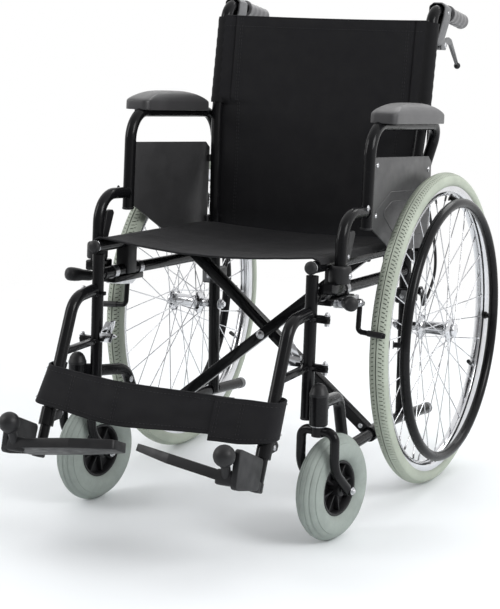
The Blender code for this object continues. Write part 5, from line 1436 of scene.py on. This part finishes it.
def build_brake_handle(side, name):
    """The parking brake's lever, bent outward, with its moulded grip."""
    y, z = BRAKE_PIVOT
    pivot = at(side, BRAKE_X + 0.005, y, z)
    root, tip = at(side, 0.26, -0.404, 0.4225), at(side, 0.288, -0.4436, 0.4297)
    arm = pipe(rounded([at(side, BRAKE_X + 0.001, y, z), at(side, BRAKE_X + 0.004, -0.39, 0.4195),
                        root + (tip - root) * 0.25], 0.012), 0.0048, 24)
    length = (tip - root).length + 0.004
    profile = [(0, length), (0.005, length - 0.0003), (0.009, length - 0.0018), (0.0118, length - 0.005),
               (0.0129, length - 0.01), (0.0129, length - 0.018), (0.0118, length - 0.028), (0.0104, length * 0.35),
               (0.01, 0.005), (0.0092, 0.001), (0.008, 0.0), (0, 0.0)]
    grip = lathe(profile, frame_on(root, tip - root, (0, 0, 1)), 36)
    boss = bar(at(side, BRAKE_PLATE_X + 0.002, y, z), pivot, 0.0082, 32)
    parts = [painted(arm, "zinc"), painted(grip, "plastic"), painted(boss, "zinc"),
             bolt_head(pivot, (side, 0, 0), 0.0046, 0.0034, "dome")]
    sided(name, "brake_handle", "parking_brake_lever", parts, "parking_brake_lever", 50)


def build_brake_shoe(side, name):
    """The rod that swings against the tyre, with the sleeve that presses on it."""
    y, z = SHOE_PIVOT
    pivot = at(side, BRAKE_X + 0.004, y, z)
    rod = pipe(rounded([at(side, BRAKE_X, y, z), at(side, BRAKE_X, -0.3078, 0.352),
                        at(side, 0.295, -0.3078, 0.3488)], 0.009), 0.0048, 24)
    boss = bar(at(side, BRAKE_PLATE_X + 0.002, y, z), pivot, 0.008, 32)
    sleeve = bar(at(side, 0.262, -0.3081, 0.3508), at(side, 0.2925, -0.3081, 0.349), 0.0057, 28)
    parts = [painted(rod, "paint"), painted(boss, "zinc"), painted(sleeve, "plastic"),
             bolt_head(pivot, (side, 0, 0), 0.0044, 0.0032)]
    sided(name, "brake_shoe_rod", "parking_brake_shoe", parts, "parking_brake_shoe")


# Sling cloth

def seat_spot(u, v):
    """A point of the seat cloth: u across, v from the front hem to the rear."""
    s = (2 * u - 1) * SEAT_HALF
    side = 1 if s >= 0 else -1
    y = -0.449 + SEAT_DEPTH * v
    sag = sizes().seat_sag * (0.62 - 0.3 * v + 0.5 * sin(pi * v))
    if abs(s) < SEAT_RAIL_X:
        x = abs(s)
        t = x / SEAT_RAIL_X
        z = SEAT_WRAP_R - sag * (1 - t * t) ** 1.5
        pull = 0.0013 * ripple(s * 9.0, y * 34.0, 1.7) + 0.0008 * ripple(s * 30.0, y * 12.0, 4.1)
        z += pull * (1 - t ** 6)
        z += 0.0022 * (t ** 8) * max(0.0, 1 - v / 0.1)
    else:
        angle = pi / 2 - (abs(s) - SEAT_RAIL_X) / SEAT_WRAP_R
        lift = SEAT_WRAP_R + 0.0006 * ripple(s * 20.0, y * 60.0)
        x, z = SEAT_RAIL_X + lift * cos(angle), lift * sin(angle)
    hem = 0.001 * max(0.0, 1 - v / 0.035)
    return at(1, side * x, y, seat_rail_z(y) + z + hem)


def build_seat_cloth():
    """Sling seat, wrapped round both seat rails, with its seams and its rolled front hem."""
    half = SEAT_HALF
    parts = [cloth_sheet(120, 72, seat_spot, 2 * half, SEAT_DEPTH, sizes().cloth)]
    up = Vector((0, 0, sizes().cloth / 2 + THREAD_LIFT))
    for v in (0.026, 0.036):
        parts.append(stitches(evenly(lambda u: seat_spot(u, v) + up, 90, 0.02, 0.96), up))
    for u in (0.062, 0.938):
        parts.append(stitches(evenly(lambda v: seat_spot(u, v) + up, 60, 0.03, 0.95), up))
    hem = evenly(lambda u: seat_spot(u, 0.0) + Vector((0, 0.0004, 0)), 120, 0.015, 0.97)
    parts.append(painted(pipe(hem, 0.0018, 12), "nylon"))
    cloth = piece("seat_cloth", None, parts, "seat_sling", 60)
    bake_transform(cloth)


def back_spot(u, v):
    """A point of the back panel: u across, v from its lower edge to its top."""
    z = BACK_FOOT_Z + BACK_HEIGHT * v
    x, y = cane_line(z)
    s = 2 * u - 1
    # Above the sleeve's foot the panel is sewn round the canes, and below it passes inside them.
    pocket = max(0.0, min(1.0, (z - SLEEVE_Z + 0.002) / 0.012))
    half = x - 0.003 - 0.0062 * (1 - pocket)
    hollow = sizes().back_hollow * (0.3 + 0.7 * sin(pi * min(1.0, v * 1.02)))
    depth = hollow * (1 - abs(s) ** 4) + (CANE_R + 0.0052) * (1 - pocket) * abs(s) ** 6
    depth += 0.0042 * max(0.0, 1 - ((abs(s) * half - half + 0.025) / 0.005) ** 2) * pocket
    pull = 0.0014 * ripple(s * 2.4, v * 2.0, 6.3) + 0.0008 * ripple(s * 9.0, v * 2.5, 2.2)
    droop = 0.0022 * (1 - s * s) * max(0.0, (v - 0.9) / 0.1)
    return at(1, s * half, y - CANE_R - 0.0022 + depth + pull * (1 - s ** 6), z - droop)


def back_sleeve(side, name):
    """The sleeve at the top of the back that a cane stands in."""
    knee_y, knee_z = CANE_KNEE
    axis = Vector((0, CANE_BEND_Y - knee_y, CANE_BEND_Z - knee_z)).normalized()
    foot = at(side, CANE_X, cane_line(SLEEVE_Z)[1], SLEEVE_Z)
    rings, inner = 26, CANE_R + 0.0008
    outer = [(CANE_R + 0.0038 + 0.0004 * sin(i * 2.1 + side), SLEEVE_LENGTH * (1 - i / rings))
             for i in range(rings + 1)]
    sleeve = lathe(outer + [(inner, 0.0), (inner, SLEEVE_LENGTH)], frame_on(foot, axis, (1, 0, 0)), 40)
    layer = sleeve.data.uv_layers.new(name="UVMap")
    for loop in sleeve.data.loops:
        spot = sleeve.data.vertices[loop.vertex_index].co
        layer.data[loop.index].uv = (atan2(spot.y - foot.y, spot.x - foot.x) * (CANE_R + 0.003), spot.z)
    return sided(name, "back_sleeve", "frame", [painted(sleeve, "nylon")], None, 60)


def build_back_cloth():
    """Sling back with its seams, its rolled edges and the two sleeves that the canes stand in."""
    parts = [cloth_sheet(120, 84, back_spot, BACK_WIDTH, BACK_HEIGHT, sizes().cloth)]
    front = Vector((0, -sizes().cloth / 2 - THREAD_LIFT, 0))
    for u in (0.085, 0.095, 0.905, 0.915):
        parts.append(stitches(evenly(lambda v: back_spot(u, v) + front, 70, 0.01, 0.98), front))
    for v in (0.955, 0.022):
        parts.append(stitches(evenly(lambda u: back_spot(u, v) + front, 80, 0.02, 0.96), front))
    for v in (0.0, 1.0):
        parts.append(painted(pipe(evenly(lambda u: back_spot(u, v), 100, 0.006, 0.988), 0.0017, 12), "nylon"))
    cloth = piece("back_cloth", "left_frame", parts, "back_sling", 60)
    sleeves = [back_sleeve(side, name) for name, side in SIDES.items()]
    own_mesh(cloth)


# Heights of the calf strap's edges, from the right hanger (-1) to the left one (1).
STRAP_TOP = ((-1.1, 0.2955), (-0.93, 0.2928), (-0.64, 0.2876), (-0.34, 0.2842), (-0.05, 0.2836), (0.3, 0.2836),
             (0.6, 0.2826), (0.83, 0.2838), (1.1, 0.283))
STRAP_FOOT = ((-1.1, 0.2344), (-0.85, 0.2282), (-0.64, 0.2226), (-0.34, 0.217), (-0.05, 0.219), (0.3, 0.2236),
              (0.6, 0.226), (0.83, 0.2268), (1.1, 0.233))


def through(table, value):
    """A smooth value between the entries of a table."""
    value = max(table[0][0], min(table[-1][0], value))
    index = min(len(table) - 2, sum(1 for place, _ in table[1:-1] if place <= value))
    (a, low), (b, high) = table[index], table[index + 1]
    before, after = table[max(0, index - 1)], table[min(len(table) - 1, index + 2)]
    start = (high - before[1]) / (b - before[0]) * (b - a)
    end = (after[1] - low) / (after[0] - a) * (b - a)
    t = (value - a) / (b - a)
    return (low * (2 * t ** 3 - 3 * t * t + 1) + start * (t ** 3 - 2 * t * t + t)
            + high * (3 * t * t - 2 * t ** 3) + end * (t ** 3 - t * t))


def strap_spot(reach, v, out=0.0):
    """A point of the strap: how far along it from its middle, how high, and how far out from its own surface."""
    side = 1 if reach >= 0 else -1
    run = abs(reach)
    if run < HANGER_X:
        x, y = run, -STRAP_R - 0.005 * sin(pi / 2 * (1 - run / HANGER_X)) - out
    else:
        angle = -pi / 2 + min(radians(205), (run - HANGER_X) / STRAP_R)
        x, y = HANGER_X + (STRAP_R + out) * cos(angle), (STRAP_R + out) * sin(angle)
    s = side * min(1.1, x / HANGER_X)
    if side < 0:
        flare = max(0.0, min(1.0, (x - 0.185) / 0.04)) * max(0.0, 1 - max(0.0, y) / 0.016)
        x += 0.011 * (1 - v) * flare
    z = through(STRAP_FOOT, s) + (through(STRAP_TOP, s) - through(STRAP_FOOT, s)) * v
    tube_y = HANGER_BEND_Y - (HANGER_TOP_Z - HANGER_DROP - z) * tan(RAKE)
    free = max(0.0, 1 - s * s)
    fold = free * (0.0022 * ripple(reach * 14, v * 3, 3.3) + 0.0012 * ripple(reach * 40, v * 2, 8.0))
    return at(1, side * x, tube_y + y * 1.097 + fold, z)


def strap_layer(start, end, out, thickness, low=0.0, high=1.0):
    """One layer of the strap, hemmed along both edges, from one place along it to another."""
    run, margin = end - start, 0.004
    parts = [cloth_sheet(max(12, int(run / 0.004)), 16,
                         lambda u, v: strap_spot(start + run * u, low + (high - low) * v, out), run, 0.07, thickness)]
    count = max(8, int(run / 0.005))
    for v in (low, high):
        edge = evenly(lambda reach: strap_spot(reach, v, out), count, start, run)
        parts.append(painted(pipe(edge, thickness * 0.62, 10), "nylon"))
    for v in (low + 0.1, high - 0.1):
        edge = evenly(lambda reach: strap_spot(reach, v, out + thickness / 2 + THREAD_LIFT), count, start + margin,
                      run - 2 * margin)
        parts.append(stitches(edge, (0, -1, 0)))
    return parts


def strap_seam(reach, out):
    """Two rows of thread down the strap."""
    return [stitches(evenly(lambda v: strap_spot(place, v, out), 14, 0.06, 0.88), (0, -1, 0))
            for place in (reach, reach + 0.005)]


def build_calf_strap():
    """Calf strap: a band on the right hanger, and the loop on the left hanger that it fastens to."""
    loop = STRAP_R * radians(200)
    band = strap_layer(-HANGER_X - loop, BAND_END, 0.0, 0.0034)
    band += strap_seam(-0.17, 0.002) + strap_seam(-0.075, 0.002)
    band = piece("calf_band", "right_hanger", band, "calf_strap", 60)
    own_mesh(band)
    end = strap_layer(LOOP_START, HANGER_X + loop, 0.0036, 0.003, -0.16)
    end += strap_seam(0.124, 0.0054) + strap_seam(0.168, 0.0054)
    end = piece("calf_loop", "left_hanger", end, None, 60)


# Studio

def mixed(nodes, links, factor, first, second, output):
    """Sends a mix of two shaders to a material's or the world's output."""
    mix = nodes.new("ShaderNodeMixShader")
    links.new(factor, mix.inputs["Fac"])
    links.new(first, mix.inputs[1])
    links.new(second, mix.inputs[2])
    links.new(mix.outputs["Shader"], nodes[output].inputs["Surface"])


def build_floor():
    """A pale floor that fades out into the white backdrop."""
    choose_none()
    bpy.ops.mesh.primitive_plane_add(size=16.0, location=(0, 2.0, 0))
    ground = placed(bpy.context.object)
    ground.name = ground.data.name = "studio_floor"
    tone = tuple(colours().floor)
    made, nodes, links, shader = new_finish("studio_floor", tone, 0.5, Specular_IOR_Level=0.25)
    space = object_space(nodes)
    clouded(nodes, links, shader, noise_node(nodes, links, space, 1.6), tone, 0.985, 1.01)
    far = nodes.new("ShaderNodeVectorMath")
    far.operation = "DISTANCE"
    far.inputs[1].default_value = (0.2, -0.4, 0.0)
    links.new(space, far.inputs[0])
    clear = nodes.new("ShaderNodeBsdfTransparent")
    mixed(nodes, links, spread(nodes, links, far.outputs["Value"], 0.0, 1.0, 1.5, 2.7), shader.outputs["BSDF"],
          clear.outputs["BSDF"], "Material Output")
    ground.data.materials.append(made)


def build_world():
    """A white backdrop for the camera, and a white sky, dimmer in front, for everything that it lights."""
    world = bpy.data.worlds.new("studio_sky")
    bpy.context.scene.world = world
    world.use_nodes = True
    nodes, links = world.node_tree.nodes, world.node_tree.links
    sky, white = nodes["Background"], nodes.new("ShaderNodeBackground")
    for shade in (sky, white):
        shade.inputs["Color"].default_value = (1.0, 1.0, 1.0, 1.0)
    white.inputs["Strength"].default_value = 1.0
    direction = nodes.new("ShaderNodeSeparateXYZ")
    links.new(nodes.new("ShaderNodeTexCoord").outputs["Generated"], direction.inputs[0])
    links.new(spread(nodes, links, direction.outputs["Y"], 0.34, 1.08, -0.85, 0.15), sky.inputs["Strength"])
    mixed(nodes, links, nodes.new("ShaderNodeLightPath").outputs["Is Camera Ray"], sky.outputs["Background"],
          white.outputs["Background"], "World Output")


def add_lamp(name, place, target, size, power):
    data = bpy.data.lights.new(name, "AREA")
    data.shape = "RECTANGLE"
    data.size, data.size_y = size
    data.energy = power
    lamp = bpy.data.objects.new(name, data)
    bpy.context.scene.collection.objects.link(lamp)
    lamp.location = place
    lamp.rotation_euler = (Vector(target) - Vector(place)).to_track_quat("-Z", "Y").to_euler()


def add_camera():
    azimuth, pitch, roll = radians(26.604), radians(11.262), radians(0.78)
    ahead = Vector((-sin(azimuth) * cos(pitch), cos(azimuth) * cos(pitch), -sin(pitch)))
    level = Vector((cos(azimuth), sin(azimuth), 0))
    right = cos(roll) * level + sin(roll) * level.cross(ahead)
    data = bpy.data.cameras.new("camera")
    data.sensor_fit = "HORIZONTAL"
    data.sensor_width = 36.0
    data.lens = 123.3
    data.clip_start = 0.1
    camera = bpy.data.objects.new("camera", data)
    bpy.context.scene.collection.objects.link(camera)
    turn = Matrix((right, right.cross(ahead), -ahead)).transposed().to_4x4()
    camera.matrix_world = Matrix.Translation((1.42096, AXLE_Y - 3.0955, 1.0004)) @ turn
    bpy.context.scene.camera = camera


# Operators

class BothSides:
    """Runs an operator's builders for the left side and then for the right."""
    builders = ()

    def execute(self, context):
        for name, side in SIDES.items():
            for build in self.builders:
                build(side, name)
        return {"FINISHED"}


class WHEELCHAIR_OT_frame(bpy.types.Operator):
    """Build the welded side frames and the folding cross brace"""
    bl_idname = "wheelchair.frame"
    bl_label = "Frame and Brace"

    def execute(self, context):
        for name, side in SIDES.items():
            build_side_frame(side, name)
        build_brace("a", 1)
        build_brace("b", -1)
        build_brace_bolt()
        return {"FINISHED"}


class WHEELCHAIR_OT_handles(BothSides, bpy.types.Operator):
    """Build the push grips and the attendant's brakes"""
    bl_idname = "wheelchair.handles"
    bl_label = "Push Handles"
    builders = (build_push_grip, build_lever_bracket, build_hand_lever, build_cable, build_brake_arm)


class WHEELCHAIR_OT_wheels(BothSides, bpy.types.Operator):
    """Build the spoked rear wheels with their push rims and axles"""
    bl_idname = "wheelchair.wheels"
    bl_label = "Rear Wheels"
    builders = (build_tyre, build_rim, build_hub, build_push_rim, build_axle)


class WHEELCHAIR_OT_casters(BothSides, bpy.types.Operator):
    """Build the front casters"""
    bl_idname = "wheelchair.casters"
    bl_label = "Casters"
    builders = (build_fork, build_caster)


class WHEELCHAIR_OT_armrests(BothSides, bpy.types.Operator):
    """Build the lift-off armrests with their pads and side panels"""
    bl_idname = "wheelchair.armrests"
    bl_label = "Armrests"
    builders = (build_arm_frame, build_clothes_guard, build_arm_cushion, build_arm_release)


class WHEELCHAIR_OT_footrests(BothSides, bpy.types.Operator):
    """Build the swing-away hangers and their footplates"""
    bl_idname = "wheelchair.footrests"
    bl_label = "Footrests"
    builders = (build_hanger, build_hanger_release, build_foot_stem, build_foot_rest)


class WHEELCHAIR_OT_brakes(BothSides, bpy.types.Operator):
    """Build the parking brakes"""
    bl_idname = "wheelchair.brakes"
    bl_label = "Parking Brakes"
    builders = (build_brake_bracket, build_brake_handle, build_brake_shoe)


class WHEELCHAIR_OT_cloth(bpy.types.Operator):
    """Build the sling seat, the sling back and the calf strap"""
    bl_idname = "wheelchair.cloth"
    bl_label = "Sling Cloth"

    def execute(self, context):
        build_seat_cloth()
        build_back_cloth()
        build_calf_strap()
        return {"FINISHED"}


class WHEELCHAIR_OT_studio(bpy.types.Operator):
    """Build the floor, sky, lamps and camera"""
    bl_idname = "wheelchair.studio"
    bl_label = "Studio"

    def execute(self, context):
        context.scene.view_settings.view_transform = "Standard"
        build_floor()
        build_world()
        add_lamp("key_lamp", (3.0, -0.7, 2.3), (0, 0, 0.45), (1.6, 1.6), 62)
        add_lamp("fill_lamp", (-2.4, -1.6, 2.0), (0, 0, 0.45), (1.3, 1.9), 34)
        add_lamp("rim_lamp", (0.4, 2.6, 2.6), (0, 0, 0.5), (2.4, 1.2), 26)
        add_camera()
        return {"FINISHED"}


class WHEELCHAIR_PT_panel(bpy.types.Panel):
    """Lists the wheelchair's settings and building steps"""
    bl_idname = "WHEELCHAIR_PT_panel"
    bl_label = "Wheelchair"
    bl_space_type = "VIEW_3D"
    bl_region_type = "UI"
    bl_category = "Wheelchair"

    def draw(self, context):
        layout = self.layout
        for group in (context.scene.wheelchair_sizes, context.scene.wheelchair_colours):
            box = layout.box()
            for setting in group.__annotations__:
                box.prop(group, setting)
        for step in STEPS:
            layout.operator(step.bl_idname)


STEPS = (
    WHEELCHAIR_OT_studio, WHEELCHAIR_OT_frame, WHEELCHAIR_OT_handles, WHEELCHAIR_OT_wheels, WHEELCHAIR_OT_casters,
    WHEELCHAIR_OT_armrests, WHEELCHAIR_OT_footrests, WHEELCHAIR_OT_brakes, WHEELCHAIR_OT_cloth,
)
CLASSES = (WheelchairSizes, WheelchairColours, *STEPS, WHEELCHAIR_PT_panel)


def register():
    for made in CLASSES:
        bpy.utils.register_class(made)
    bpy.types.Scene.wheelchair_sizes = bpy.props.PointerProperty(type=WheelchairSizes)
    bpy.types.Scene.wheelchair_colours = bpy.props.PointerProperty(type=WheelchairColours)


def unregister():
    del bpy.types.Scene.wheelchair_colours
    del bpy.types.Scene.wheelchair_sizes
    for made in reversed(CLASSES):
        bpy.utils.unregister_class(made)


def main():
    register()
    bpy.ops.wheelchair.studio()
    bpy.ops.wheelchair.frame()
    bpy.ops.wheelchair.handles()
    bpy.ops.wheelchair.wheels()
    bpy.ops.wheelchair.casters()
    bpy.ops.wheelchair.armrests()
    bpy.ops.wheelchair.footrests()
    bpy.ops.wheelchair.brakes()
    bpy.ops.wheelchair.cloth()


if __name__ == "__main__":
    main()
